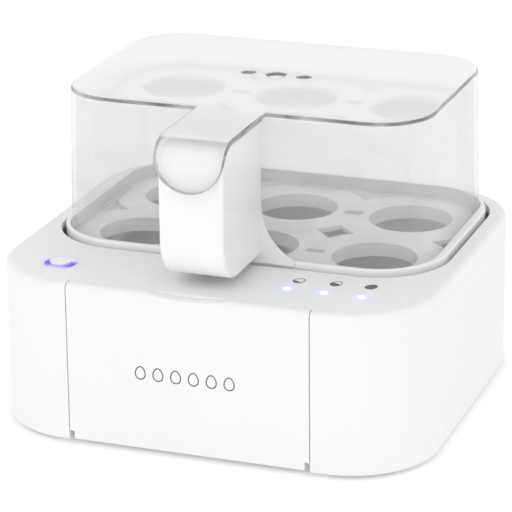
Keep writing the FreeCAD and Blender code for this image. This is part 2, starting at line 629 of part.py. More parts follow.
def make_accessory_bay():
    width = "(bay_left + bay_right)"
    solids = [
        block("bay_box", "(-bay_left)", BAY_FRONT, "bay_low", width, f"({BAY_REAR} - {BAY_FRONT})",
              f"({BAY_TOP} - bay_low)"),
        block("bay_flange", "(door_x + 2 - door_width/2)", BAY_FRONT, "(bay_low + 1)", "(door_width - 4)",
              "bay_wall", f"({BAY_TOP} - bay_low - 2)"),
        block("bay_magnet_seat", f"({MAGNET_X} - bay_wall)", BAY_FRONT, f"({MAGNET_Z} - bay_wall)",
              "(magnet_side + 2*bay_wall)", 4.4, "(magnet_side + 2*bay_wall)"),
    ]
    cuts = [
        block("bay_inside", "(bay_wall - bay_left)", f"({BAY_FRONT} - 1)", "(bay_low + bay_wall)",
              f"({width} - 2*bay_wall)", f"({BAY_REAR} - {BAY_FRONT} - bay_wall + 1)",
              f"({BAY_TOP} - bay_low - 2*bay_wall)"),
        block("bay_magnet_pocket", MAGNET_X, f"({BAY_FRONT} - 1)", MAGNET_Z, "magnet_side", 4, "magnet_side"),
    ]
    node(without("bay", joined("bay_solids", solids), cuts), "accessory_bay")
    node(block("magnet", MAGNET_X, f"({BAY_FRONT} + 0.1)", MAGNET_Z, "magnet_side", 2.9, "magnet_side"),
         "door_magnet")


def make_hinge_pins():
    inner = "(door_width/2 - door_step - knuckle_length + 0.5)"
    length = f"(door_width/2 + door_gap + pin_hold - {inner})"
    pins = [rod("pin_right", f"(door_x + {inner})", PIN_Y, PIN_Z, "pin_radius", length, "x"),
            rod("pin_left", f"(door_x - {inner} - {length})", PIN_Y, PIN_Z, "pin_radius", length, "x")]
    node(group("pins", pins), "door_hinge_pins")


# The bowl and its heater


def make_bowl():
    flange_top = f"({DECK_UNDER} - bowl_gasket_wall)"
    flange_w = f"({OPENING_W} + 2*bowl_flange)"
    flange_d = f"({OPENING_D} + 2*bowl_flange)"
    flange_r = "(opening_radius + bowl_flange)"
    low_w = f"({OPENING_W} - 2*bowl_step)"
    low_d = f"({OPENING_D} - 2*bowl_step)"
    low_r = "(opening_radius - bowl_step)"
    metal = [
        prism("bowl_flange_sheet", flange_w, flange_d, flange_r, f"({flange_top} - bowl_wall)", "bowl_wall",
              y=WELL_Y),
        prism("bowl_upper", f"({OPENING_W} + 2*bowl_wall)", f"({OPENING_D} + 2*bowl_wall)",
              "(opening_radius + bowl_wall)", f"({LEDGE} - bowl_wall)", f"({flange_top} - {LEDGE})", y=WELL_Y),
        prism("bowl_lower", f"({low_w} + 2*bowl_wall)", f"({low_d} + 2*bowl_wall)", f"({low_r} + bowl_wall)",
              f"({BOWL_FLOOR} - bowl_wall)", f"({LEDGE} - {BOWL_FLOOR})", y=WELL_Y,
              round_low="(bowl_round + bowl_wall)"),
    ]
    space = [
        prism("bowl_upper_space", OPENING_W, OPENING_D, "opening_radius", LEDGE,
              f"({flange_top} - {LEDGE} + 1)", y=WELL_Y),
        prism("bowl_lower_space", low_w, low_d, low_r, BOWL_FLOOR, f"({LEDGE} - {BOWL_FLOOR} + 1)", y=WELL_Y,
              round_low="bowl_round"),
    ]
    node(without("bowl", joined("bowl_metal", metal), space), "heating_bowl")
    gasket = prism("gasket_outer", flange_w, flange_d, flange_r, flange_top, "bowl_gasket_wall", y=WELL_Y)
    hole = prism("gasket_inner", f"({OPENING_W} + 0.6)", f"({OPENING_D} + 0.6)", "(opening_radius + 0.3)",
                 f"({flange_top} - 1)", "(bowl_gasket_wall + 2)", y=WELL_Y)
    node(without("gasket", gasket, [hole]), "bowl_gasket")
    pads = [rod(f"pad_{n}", x, y, f"({LEDGE} - bowl_wall - 2)", "post_radius", 2)
            for n, (x, y) in enumerate(POSTS)]
    node(group("pads", pads), "bowl_pads")


def make_heater():
    node(rod("spreader", 0, WELL_Y, SPREADER_LOW, "spreader_radius", "spreader_wall"), "heat_spreader")
    ring = document.addObject("Part::Torus", "element_ring")
    ring.Angle3 = 310
    ring.Placement = FreeCAD.Placement(FreeCAD.Vector(), FreeCAD.Rotation(FreeCAD.Vector(0, 0, 1), 115))
    bind(ring, "Radius1", "element_radius")
    bind(ring, "Radius2", "element_tube")
    bind(ring, "Placement.Base.y", WELL_Y)
    bind(ring, "Placement.Base.z", ELEMENT_Z)
    legs = []
    tabs = []
    for n, angle in enumerate((115, 65)):
        x = f"(element_radius*cos({angle}))"
        y = f"({WELL_Y} + element_radius*sin({angle}))"
        legs.append(rod(f"element_leg_{n}", x, y, f"({ELEMENT_Z} - 4)", "(element_tube - 0.2)", 4.5))
        ball = document.addObject("Part::Sphere", f"element_end_{n}")
        bind(ball, "Radius", "element_tube")
        for axis, text in (("x", x), ("y", y), ("z", ELEMENT_Z)):
            bind(ball, f"Placement.Base.{axis}", text)
        legs.append(ball)
        tabs.append(block(f"terminal_{n}", f"({x} - 3.1)", f"({y} - 0.4)", f"({ELEMENT_Z} - terminal_drop)",
                          6.2, 0.8, "(terminal_drop - 4)"))
    node(joined("element", [ring] + legs), "heating_element")
    node(group("terminals", tabs), "element_terminals")
    node(rod("thermostat_can", 0, WELL_Y, f"({SPREADER_LOW} - thermostat_height)", "thermostat_radius",
             "thermostat_height"), "thermostat")
    strap_low = f"({SPREADER_LOW} - thermostat_height - strap_wall)"
    strap_y = f"({WELL_Y} - 3)"
    drop = "(thermostat_height + strap_wall)"
    strap = [block("strap_bar", "(-strap_half)", strap_y, strap_low, "(2*strap_half)", 6, "strap_wall")]
    for n, x in enumerate(("(-strap_half)", "(strap_half - strap_wall)")):
        strap.append(block(f"strap_leg_{n}", x, strap_y, strap_low, "strap_wall", 6, drop))
    node(joined("strap", strap), "thermostat_bracket")
    node(rod("fuse", "(-fuse_length/2)", f"({WELL_Y} - 20)", f"({SPREADER_LOW} - fuse_radius)", "fuse_radius",
             "fuse_length", "x"), "thermal_fuse")


def make_heat_shield():
    """A metal sheet over the power board, on four bent legs."""
    front = f"({WELL_Y} - {OPENING_D}/2)"
    half = f"({OPENING_W}/2 - shield_margin)"
    solids = [prism("shield_sheet", f"(2*{half})", f"({OPENING_D} - shield_margin)", 20, SHIELD_LOW,
                    "shield_wall", y=WELL_Y)]
    for n, y in enumerate((f"({front} + 24)", f"({front} + 86)")):
        for side, leg_x, foot_x in (("right", f"({half} - shield_wall)", f"({half} - shield_foot)"),
                                    ("left", f"(-{half})", f"(-{half})")):
            solids.append(block(f"shield_leg_{side}_{n}", leg_x, y, PLATE_TOP, "shield_wall", "shield_foot",
                                f"({SHIELD_LOW} + shield_wall - {PLATE_TOP})"))
            solids.append(block(f"shield_foot_{side}_{n}", foot_x, y, PLATE_TOP, "shield_foot", "shield_foot",
                                "shield_wall"))
    return node(joined("shield", solids), "heat_shield")


# The controls and the power board


def make_controls():
    low = f"({BOARD_TOP} - board_wall)"
    board = block("control_sheet", "(lamp_first - 7)", f"({LAMP_Y} - 11)", low, "(2*lamp_pitch + 12)",
                  "control_board_depth", "board_wall")
    holes = [rod(f"control_hole_{n}", x, y, f"({low} - 1)", 1.0, 4) for n, (x, y) in enumerate(CONTROL_POSTS)]
    node(without("control", board, holes), "control_board")
    chips = [block(f"led_{n}", f"({x} - 1.4)", f"({y} - 1.4)", BOARD_TOP, 2.8, 2.8, 1.2)
             for n, (x, y) in enumerate(LAMPS)]
    node(group("led_set", chips), "indicator_leds")
    pipes = []
    pipe_low = f"({BOARD_TOP} + 1.8)"
    for n, (x, y) in enumerate(LAMPS):
        foot = rod(f"pipe_foot_{n}", x, y, f"({DECK_UNDER} - 1)", "(lamp_radius + 1)", 1)
        stalk = rod(f"pipe_stalk_{n}", x, y, pipe_low, "lamp_radius", f"(deck_top - {pipe_low})")
        pipes.append(joined(f"pipe_{n}", [foot, stalk]))
    node(group("pipe_set", pipes), "indicator_light_pipes")
    node(block("controller", "(lamp_first + 9)", f"({LAMP_Y} - 4)", f"({low} - 1.2)", 9, 9, 1.2),
         "microcontroller")
    node(rod("sounder", "(lamp_first + 29)", f"({LAMP_Y} + 6)", f"({low} - 7)", 5.5, 7), "buzzer")
    button_low = f"({BUTTON_BOARD_TOP} - board_wall)"
    small = block("button_sheet", "(-button_x - button_board_width/2)", f"({BUTTON_Y} - 10)", button_low,
                  "button_board_width", "button_board_depth", "board_wall")
    small_holes = [rod(f"button_board_hole_{n}", x, y, f"({button_low} - 1)", 1.0, 4)
                   for n, (x, y) in enumerate(BUTTON_POSTS)]
    node(without("button_pcb", small, small_holes), "button_board")
    screws = []
    for n, (x, y) in enumerate(CONTROL_POSTS + BUTTON_POSTS):
        under = low if n < 2 else button_low
        head = rod(f"board_screw_head_{n}", x, y, f"({under} - 1.2)", 1.6, 1.2)
        shank = rod(f"board_screw_shank_{n}", x, y, f"({under} - 0.2)", "post_bore_radius", "(board_wall + 4)")
        screws.append(joined(f"board_screw_{n}", [head, shank]))
    node(group("board_screw_set", screws), "board_screws")


def make_button():
    """The button, its light ring and silicone return dome, and the switch under it."""
    x = "(-button_x)"
    inner = "(button_radius + button_play)"
    ring_low = f"({DECK_UNDER} - 4.5)"
    node(tube("light_ring", x, BUTTON_Y, ring_low, f"({inner} + light_ring_wall)", inner,
              f"(deck_top - {ring_low})"), "button_light_ring")
    flange_low = f"({ring_low} - 2)"
    stem_low = f"({flange_low} - 0.5)"
    solids = [
        rod("button_cap", x, BUTTON_Y, flange_low, "button_radius",
            f"(deck_top + button_proud - {flange_low})"),
        rod("button_flange", x, BUTTON_Y, flange_low, f"({inner} + light_ring_wall - button_play)", 1.5),
        rod("button_stem", x, BUTTON_Y, stem_low, 2, 1),
    ]
    node(joined("button", solids), "power_button")
    body = block("switch_body", f"({x} - 3)", f"({BUTTON_Y} - 3)", BUTTON_BOARD_TOP, 6, 6, 3)
    plunger_top = f"({stem_low} - button_travel_space)"
    plunger = rod("switch_plunger", x, BUTTON_Y, BUTTON_BOARD_TOP, 1.7, f"({plunger_top} - {BUTTON_BOARD_TOP})")
    node(joined("switch", [body, plunger]), "tact_switch")
    height = f"({flange_low} - {BUTTON_BOARD_TOP})"
    outside = cone("dome_outside", x, BUTTON_Y, BUTTON_BOARD_TOP, "(button_radius + dome_foot)",
                   "(button_radius + dome_head)", height)
    inside = cone("dome_inside", x, BUTTON_Y, BUTTON_BOARD_TOP, "(button_radius + dome_foot - dome_wall)",
                  "(button_radius + dome_head - dome_wall)", height)
    node(without("dome", outside, [inside]), "button_dome")


def make_power_board():
    """The board on the base plate; its tall parts fill shares of the height under the heat shield."""
    board = block("power_sheet", "(-power_width/2)", POWER_Y, POWER_LOW, "power_width", "power_depth",
                  "board_wall")
    holes = [rod(f"power_hole_{n}", x, y, f"({POWER_LOW} - 1)", "screw_radius", 5)
             for n, (x, y) in enumerate(POWER_POSTS)]
    node(without("power", board, holes), "power_board")
    node(block("relay_case", -25, f"({POWER_Y} + 4)", POWER_TOP, 19, 15.5, f"(relay_fill*{POWER_ROOM})"),
         "relay")
    node(block("transformer_case", -2, f"({POWER_Y} + 12)", POWER_TOP, 24, 20,
               f"(transformer_fill*{POWER_ROOM})"), "transformer")
    node(rod("capacitor_can", 8, f"({POWER_Y} + 6)", POWER_TOP, 4, f"(capacitor_fill*{POWER_ROOM})"),
         "capacitor")
    node(block("terminal_case", -22, f"({POWER_Y} + 29)", POWER_TOP, 19.5, 9, f"(terminal_fill*{POWER_ROOM})"),
         "terminal_block")
    screws = []
    for n, (x, y) in enumerate(POWER_POSTS):
        head = rod(f"power_screw_head_{n}", x, y, POWER_TOP, "screw_head_radius", "screw_head_height")
        shank = rod(f"power_screw_shank_{n}", x, y, f"({PLATE_TOP} + 0.7)", "screw_radius",
                    f"({POWER_TOP} - {PLATE_TOP} + 0.3)")
        screws.append(joined(f"power_screw_{n}", [head, shank]))
    node(group("power_screw_set", screws), "power_board_screws")


def make_cable_gland():
    """A bush for the mains cable, flush with the back of the base."""
    y = "(base_depth/2 - shell_wall - 4.4)"
    solids = [rod("gland_bush", "gland_x", y, "gland_height", "(gland_radius + gland_wall)",
                  "(4.4 + shell_wall - 0.1)", "y"),
              rod("gland_collar", "gland_x", y, "gland_height", "(gland_radius + gland_wall + 2)", 4.4, "y")]
    bore = rod("gland_bore", "gland_x", f"({y} - 1)", "gland_height", "gland_radius", 12, "y")
    return node(without("gland", joined("gland_solids", solids), [bore]), "cord_gland")


# The carrier


def make_carrier_frame():
    skirt_low = f"({LEDGE} + body_gap)"
    outer = prism("frame_outer", RING_W, RING_D, "ring_radius", skirt_low, f"({RING_TOP} - {skirt_low})",
                  y=WELL_Y, round_top=0.8)
    recess = prism("frame_recess", RECESS_W, RECESS_D, "recess_radius", RECESS_Z,
                   f"({RING_TOP} - {RECESS_Z} + 1)", y=WELL_Y)
    shelf = prism("frame_shelf_hole", f"({RECESS_W} - 2*shelf_width)", f"({RECESS_D} - 2*shelf_width)",
                  "(recess_radius - shelf_width)", f"({RACK_TOP} - rack_wall)", 8, y=WELL_Y)
    lip = prism("frame_lip_hole", f"({RECESS_W} - 2*shelf_width - 2*rack_lip)",
                f"({RECESS_D} - 2*shelf_width - 2*rack_lip)", "(recess_radius - shelf_width - rack_lip)",
                f"({skirt_low} - 1)", 12, y=WELL_Y)
    inside = prism("frame_skirt_space", f"({RING_W} - 2*skirt_wall)", f"({RING_D} - 2*skirt_wall)",
                   "(ring_radius - skirt_wall)", f"({skirt_low} - 1)",
                   f"({RACK_TOP} - rack_wall - 1.6 - {skirt_low} + 1)", y=WELL_Y)
    ring = without("frame_ring", outer, [recess, shelf, lip, inside])
    grip = joined("frame_grip", [make_grip(), make_web()])
    clear = prism("frame_lid_room", RECESS_W, RECESS_D, "recess_radius", RING_TOP, "lid_height", y=WELL_Y)
    cavity = make_grip_cavity()
    bosses = [rod(f"grip_boss_{n}", 0, f"({RING_FRONT} - 13)", z, "(2*screw_radius + 0.1)", 12, "y")
              for n, z in enumerate(GRIP_SCREWS)]
    bores = [rod(f"grip_bore_{n}", 0, f"({RING_FRONT} - 10.5)", z, "screw_radius", 12, "y")
             for n, z in enumerate(GRIP_SCREWS)]
    hollow = without("frame_hollow_grip", grip, [cavity, clear])
    backs = [block("grip_spine", -1, f"({HANDLE_FRONT} + handle_wall - 0.5)", f"({z} - 1)", 2,
                   f"({RING_FRONT} - 12 - {HANDLE_FRONT} - handle_wall + 0.5)", 2) for z in GRIP_SCREWS]
    solid = joined("frame_solid", [ring, hollow] + trimmed_bosses(bosses) + backs)
    return node(without("frame", solid, bores), "carrier_frame")


def trimmed_bosses(bosses):
    """Screw bosses in the handle, ending where its rear cover begins."""
    room = block("grip_boss_room", -6, f"({COVER_FRONT} - 20)", HANDLE_LOW, 12, 20,
                 f"({HANDLE_TOP} - {HANDLE_LOW})")
    return [shared(boss.Name + "_trimmed", boss, room) for boss in bosses]


def grip_profile(inset):
    """Side view of the handle: flat top, rounded front top, upright front, and a large bend back underneath."""
    back = f"({RING_FRONT} + 1)" if not inset else f"({RING_FRONT} + 3)"
    front = f"({HANDLE_FRONT} + {inset})"
    top = f"({HANDLE_TOP} - {inset})"
    low = f"({HANDLE_LOW} + {inset})"
    bend = f"(tongue_bend - tongue_wall - body_gap - {inset})"
    under = f"(handle_under_radius - {inset})"
    return (
        (back, low),
        (back, top),
        (f"({front} + {bend})", top),
        (front, f"({top} - {bend})", f"({front} + {bend})", f"({top} - {bend})", 1),
        (front, f"({low} + {under})"),
        (f"({front} + {under})", low, f"({front} + {under})", f"({low} + {under})", 1),
    )


def make_grip():
    body = new_body("grip")
    sketch = outline_sketch(body, "YZ_Plane", grip_profile(0))
    extrude(body, "Pad", sketch, "handle_width", side="Symmetric")
    limit = amount_of(HANDLE_FRONT) + amount_of("handle_under_radius")
    half = amount_of("handle_width") / 2
    round_edges(body, "handle_edge", lambda box: abs(abs(box.Center.x) - half) < 1e-3
                and box.XLength < 1e-3 and box.Center.y < limit and box.YMax < limit + 1)
    return body


def make_grip_cavity():
    body = new_body("grip_cavity")
    sketch = outline_sketch(body, "YZ_Plane", grip_profile("handle_wall"))
    extrude(body, "Pad", sketch, "handle_width - 2*handle_wall", side="Symmetric")
    return body


def make_web():
    """A thin upright web that spreads in a hollow curve from the handle down to the ring."""
    body = new_body("web")
    half = "(handle_width/2)"
    foot = "(handle_width/2 + flare_spread)"
    high = f"({RING_TOP} + flare_height)"
    bend = "((flare_spread*flare_spread + flare_height*flare_height)/(2*flare_spread))"
    low = f"({RING_TOP} - 1.5)"
    corners = (
        (f"(-{foot})", low),
        (foot, low),
        (foot, RING_TOP),
        (half, high, f"({half} + {bend})", high, -1),
        (f"(-{half})", high),
        (f"(-{foot})", RING_TOP, f"(-{half} - {bend})", high, -1),
    )
    sketch = outline_sketch(body, "XZ_Plane", corners, z=f"(-({RING_FRONT} - 1 + web_wall))")
    extrude(body, "Pad", sketch, "web_wall")
    return body


def make_handle_cover():
    """The flat cover that closes the back of the hollow handle."""
    inner_w = "(handle_width - 2*handle_wall - 0.4)"
    low = f"({HANDLE_LOW} + handle_wall + 0.2)"
    high = f"({HANDLE_TOP} - handle_wall - 0.2)"
    plate = block("cover_plate", f"(-{inner_w}/2)", COVER_FRONT, low, inner_w,
                  f"({COVER_BACK} - {COVER_FRONT})", f"({high} - {low})")
    cuts = []
    for n, z in enumerate(GRIP_SCREWS):
        cuts.append(rod(f"cover_hole_{n}", 0, f"({COVER_FRONT} - 1)", z, "(screw_radius + 0.2)", 5, "y"))
    node(without("cover", plate, cuts), "handle_cover")
    screws = []
    for n, z in enumerate(GRIP_SCREWS):
        head = rod(f"cover_screw_head_{n}", 0, COVER_BACK, z, "screw_head_radius", 0.9, "y")
        shank = rod(f"cover_screw_shank_{n}", 0, f"({RING_FRONT} - 9)", z, "screw_radius", "(9 + 0.8)", "y")
        screws.append(joined(f"cover_screw_{n}", [head, shank]))
    node(group("cover_screw_set", screws), "handle_screws")


def make_egg_rack():
    """Six round lobes run together, each with a seat and a collar for one egg, and steam slots between them."""
    low = f"({RACK_TOP} - rack_wall)"
    lobes = [rod(f"lobe_{n}", x, y, low, LOBE_RADIUS, "rack_wall") for n, (x, y) in enumerate(SEATS)]
    limit = prism("rack_limit", f"({RECESS_W} - 2*shelf_width - 0.2)", f"({RECESS_D} - 2*shelf_width - 0.2)",
                  "(recess_radius - shelf_width - 0.1)", f"({low} - 1)", 6, y=WELL_Y)
    plate = shared("rack_plate", joined("rack_lobes", lobes), limit)
    collar_low = f"({low} - collar_height)"
    collars = [rod(f"collar_{n}", x, y, collar_low, "(seat_radius + collar_wall)", "(collar_height + 0.5)")
               for n, (x, y) in enumerate(SEATS)]
    holes = [rod(f"seat_{n}", x, y, f"({collar_low} - 1)", "seat_radius", "(collar_height + rack_wall + 2)")
             for n, (x, y) in enumerate(SEATS)]
    for n, (x, y) in enumerate(SLOTS):
        holes.append(prism(f"steam_slot_{n}", SLOT_LENGTH, "slot_width", "(slot_width/2 - 0.01)",
                           f"({low} - 1)", "(rack_wall + 2)", x=x, y=y))
    return node(without("rack", joined("rack_solid", [plate] + collars), holes), "egg_rack")


# The lid


def make_lid():
    low = f"({RECESS_Z} + body_gap)"
    radius = "(recess_radius - lid_play)"
    height = f"({LID_TOP} - {low})"
    outer = prism("lid_outer", LID_W, LID_D, radius, low, height, y=WELL_Y, draft="-lid_draft",
                  round_top="lid_round")
    inner = prism("lid_inner", f"({LID_W} - 2*lid_wall)", f"({LID_D} - 2*lid_wall)", f"({radius} - lid_wall)",
                  f"({low})", f"({height} - lid_wall)", y=WELL_Y, draft="-lid_draft")
    vents = [rod(f"vent_{n}", f"({n}*vent_pitch)", WELL_Y, f"({LID_TOP} - 6)",
                 "middle_vent_radius" if n == 0 else "vent_radius", 10) for n in (-1, 0, 1)]
    solid = joined("lid_solid", [outer, make_tongue()])
    return node(without("lid", solid, [inner] + vents), "lid_shell")


def make_tongue():
    """A strip forward from the lid's top that bends down in front of the handle and ends in a half circle."""
    body = new_body("tongue")
    top = LID_TOP
    front = TONGUE_FRONT
    back = f"({RECESS_FRONT} + 4)"
    inner_bend = "(tongue_bend - tongue_wall)"
    centre = (f"({front} + tongue_bend)", f"({top} - tongue_bend)")
    low = f"({top} - tongue_tip)"
    side_view = (
        (back, f"({top} - tongue_wall)"),
        (back, top),
        (centre[0], top),
        (front, centre[1], *centre, 1),
        (front, low),
        (f"({front} + tongue_wall)", low),
        (f"({front} + tongue_wall)", centre[1]),
        (centre[0], f"({top} - tongue_wall)", *centre, -1),
    )
    sketch = outline_sketch(body, "YZ_Plane", side_view)
    extrude(body, "Pad", sketch, "tongue_width", side="Symmetric")
    half = "(tongue_width/2)"
    middle = f"({low} + {half})"
    below = f"({low} - 2)"
    trim = (
        (f"({half} + 1)", below),
        (f"({half} + 1)", middle),
        (half, middle),
        (f"(-{half})", middle, 0, middle, -1),
        (f"(-{half} - 1)", middle),
        (f"(-{half} - 1)", below),
    )
    sketch = outline_sketch(body, "XZ_Plane", trim, z="(base_depth/2 + 5)")
    volume = body.Shape.Volume
    extrude(body, "Pocket", sketch, "(tongue_bend + handle_setback + 8)")
    if body.Shape.Volume > volume - 1:
        raise ValueError("the tongue's end was not cut round")
    return body


# The door


def make_door():
    height = "(deck_top - door_low)"
    panel = new_body("door_panel")
    sketch = outline_sketch(panel, "YZ_Plane", (
        (FRONT, "door_low"),
        (DOOR_BACK, "door_low"),
        (DOOR_BACK, "deck_top"),
        (f"({FRONT} + edge_round)", "deck_top"),
        (FRONT, "(deck_top - edge_round)", f"({FRONT} + edge_round)", "(deck_top - edge_round)", 1),
    ), z="door_x")
    extrude(panel, "Pad", sketch, "door_width", side="Symmetric")
    notch_radius = "((notch_width*notch_width/4 + notch_depth*notch_depth)/(2*notch_depth))"
    cuts = [
        rod("door_notch", "door_x", f"({FRONT} - 1)", f"(deck_top - notch_depth + {notch_radius})",
            notch_radius, "(door_depth + 2)", "y"),
        block("door_hollow", "(door_x + 3 - door_width/2)", DOOR_INSIDE, "(door_low + 6)",
              "(door_width - 6)", 10, f"({height} - 10.5)"),
    ]
    for n, x in enumerate(("(door_x + door_width/2 - door_step)", "(door_x - door_width/2 - 1)")):
        cuts.append(block(f"door_corner_{n}", x, f"({FRONT} - 1)", 0, "(door_step + 1)", 20,
                          "(door_low + door_step_height)"))
    shell = without("door_shell", panel, cuts)
    near = "(door_width/2 - door_step - knuckle_length)"
    knuckles = [rod("knuckle_right", f"(door_x + {near})", PIN_Y, PIN_Z, KNUCKLE, "knuckle_length", "x"),
                rod("knuckle_left", f"(door_x - {near} - knuckle_length)", PIN_Y, PIN_Z, KNUCKLE,
                    "knuckle_length", "x")]
    bore = rod("door_bore", "(door_x - door_width/2 - 1)", PIN_Y, PIN_Z, "(pin_radius + pin_play)",
               "(door_width + 2)", "x")
    node(without("door", joined("door_solid", [shell] + knuckles), [bore]), "front_door")
    node(block("striker", MAGNET_X, DOOR_INSIDE, MAGNET_Z, "magnet_side", "(door_depth - door_skin - 0.1)",
               "magnet_side"), "door_striker")


def make_tray():
    """The tray on the inside of the door, with the measuring cup and the egg pricker standing in it."""
    outer = block("tray_block", TRAY_LEFT, DOOR_INSIDE, TRAY_LOW, TRAY_WIDTH, "tray_reach", "tray_height")
    room = block("tray_room", f"({TRAY_LEFT} + tray_wall)", f"({DOOR_INSIDE} + tray_wall)", TRAY_FLOOR,
                 f"({TRAY_WIDTH} - 2*tray_wall)", "(tray_reach - 2*tray_wall)", "tray_height")
    divider = block("tray_divider", f"({CUP_X} - cup_width/2 - cup_room - tray_wall)", f"({DOOR_INSIDE} + 1)",
                    TRAY_LOW, "tray_wall", "(tray_reach - 2)", "(tray_height - 3)")
    node(joined("tray", [without("tray_shell", outer, [room]), divider]), "door_tray")
    cup = prism("cup_outer", "cup_width", "cup_depth", "cup_radius", TRAY_FLOOR, "cup_height", x=CUP_X, y=CUP_Y,
                round_low=1.5)
    inside = prism("cup_inner", "(cup_width - 2*cup_wall)", "(cup_depth - 2*cup_wall)",
                   "(cup_radius - cup_wall)", f"({TRAY_FLOOR} + cup_wall)", "cup_height", x=CUP_X, y=CUP_Y)
    node(without("cup", cup, [inside]), "measuring_cup")
    pin_x = f"(({TRAY_LEFT} + {CUP_X} - cup_width/2 - cup_room)/2)"
    pricker = [rod("pricker_base", pin_x, CUP_Y, TRAY_FLOOR, "pricker_radius", 4),
               rod("pricker_stem", pin_x, CUP_Y, TRAY_FLOOR, "(0.56*pricker_radius)", 14)]
    socket = rod("pricker_socket", pin_x, CUP_Y, f"({TRAY_FLOOR} + 9)", "needle_radius", 6)
    node(without("pricker", joined("pricker_solid", pricker), [socket]), "egg_pricker")
    needle = [rod("needle_wire", pin_x, CUP_Y, f"({TRAY_FLOOR} + 9)", "needle_radius", 9),
              cone("needle_tip", pin_x, CUP_Y, f"({TRAY_FLOOR} + 18)", "needle_radius", 0.1, 2)]
    node(joined("needle", needle), "pricker_needle")


make_base_housing()
make_base_plate()
make_base_fasteners()
make_accessory_bay()
make_hinge_pins()
make_bowl()
make_heater()
make_heat_shield()
make_controls()
make_button()
make_power_board()
make_cable_gland()
make_carrier_frame()
make_handle_cover()
make_egg_rack()
make_lid()
make_door()
make_tray()
document.recompute()

for item in document.Objects:
    if {"Invalid", "Error"} & set(item.State):
        raise ValueError(f"{item.Label} failed: {item.State}")
for item in NODES:
    if item.Shape.isNull() or not item.Shape.isValid() or not item.Shape.Solids:
        raise ValueError(f"{item.Label} has no valid solid")

os.makedirs("parts", exist_ok=True)
for item in NODES:
    item.Shape.exportStep(f"parts/{item.Label}.step")
    box = item.Shape.BoundBox
    print(f"{item.Label:22s} {len(item.Shape.Solids)} solid(s), {item.Shape.Volume:9.0f} mm3, "
          f"z {box.ZMin:6.1f} to {box.ZMax:6.1f}")
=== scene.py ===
import bpy
import math
import numpy as np
from mathutils import Matrix, Vector


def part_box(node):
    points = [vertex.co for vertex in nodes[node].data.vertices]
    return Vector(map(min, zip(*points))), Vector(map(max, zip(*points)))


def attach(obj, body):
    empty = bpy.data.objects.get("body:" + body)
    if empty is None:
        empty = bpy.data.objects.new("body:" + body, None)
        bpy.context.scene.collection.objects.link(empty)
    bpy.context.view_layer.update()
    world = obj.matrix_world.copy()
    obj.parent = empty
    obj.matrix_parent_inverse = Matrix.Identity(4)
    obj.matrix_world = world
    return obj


# Egg cooker: the CAD parts get their finishes here, and prints, lamps and small trim are added to them.
# Everything is in metres, with the front facing -Y and the table at Z = 0.

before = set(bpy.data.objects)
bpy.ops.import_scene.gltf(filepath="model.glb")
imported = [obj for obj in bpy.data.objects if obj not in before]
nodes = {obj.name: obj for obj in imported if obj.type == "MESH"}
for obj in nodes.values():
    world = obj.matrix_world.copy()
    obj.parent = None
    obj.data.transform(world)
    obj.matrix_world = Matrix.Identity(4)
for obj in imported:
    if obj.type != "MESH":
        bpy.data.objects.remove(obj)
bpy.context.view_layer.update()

mm = 0.001


class Wire:
    # one output socket; arithmetic on it adds Math nodes
    def __init__(self, finish, socket):
        self.finish = finish
        self.socket = socket

    def maths(self, operation, *values):
        return self.finish.add("ShaderNodeMath", {"operation": operation}, dict(enumerate(values)))

    def __add__(self, other):
        return self.maths("ADD", self, other)

    def __radd__(self, other):
        return self.maths("ADD", other, self)

    def __sub__(self, other):
        return self.maths("SUBTRACT", self, other)

    def __rsub__(self, other):
        return self.maths("SUBTRACT", other, self)

    def __mul__(self, other):
        return self.maths("MULTIPLY", self, other)

    def __rmul__(self, other):
        return self.maths("MULTIPLY", other, self)

    def __truediv__(self, other):
        return self.maths("DIVIDE", self, other)

    def __pow__(self, other):
        return self.maths("POWER", self, other)

    def fall(self):
        # e to the power of minus this: 1 at zero, fading to nothing
        return self.maths("EXPONENT", self * -1.0)

    def clamped(self):
        return self.maths("MINIMUM", self.maths("MAXIMUM", self, 0.0), 1.0)


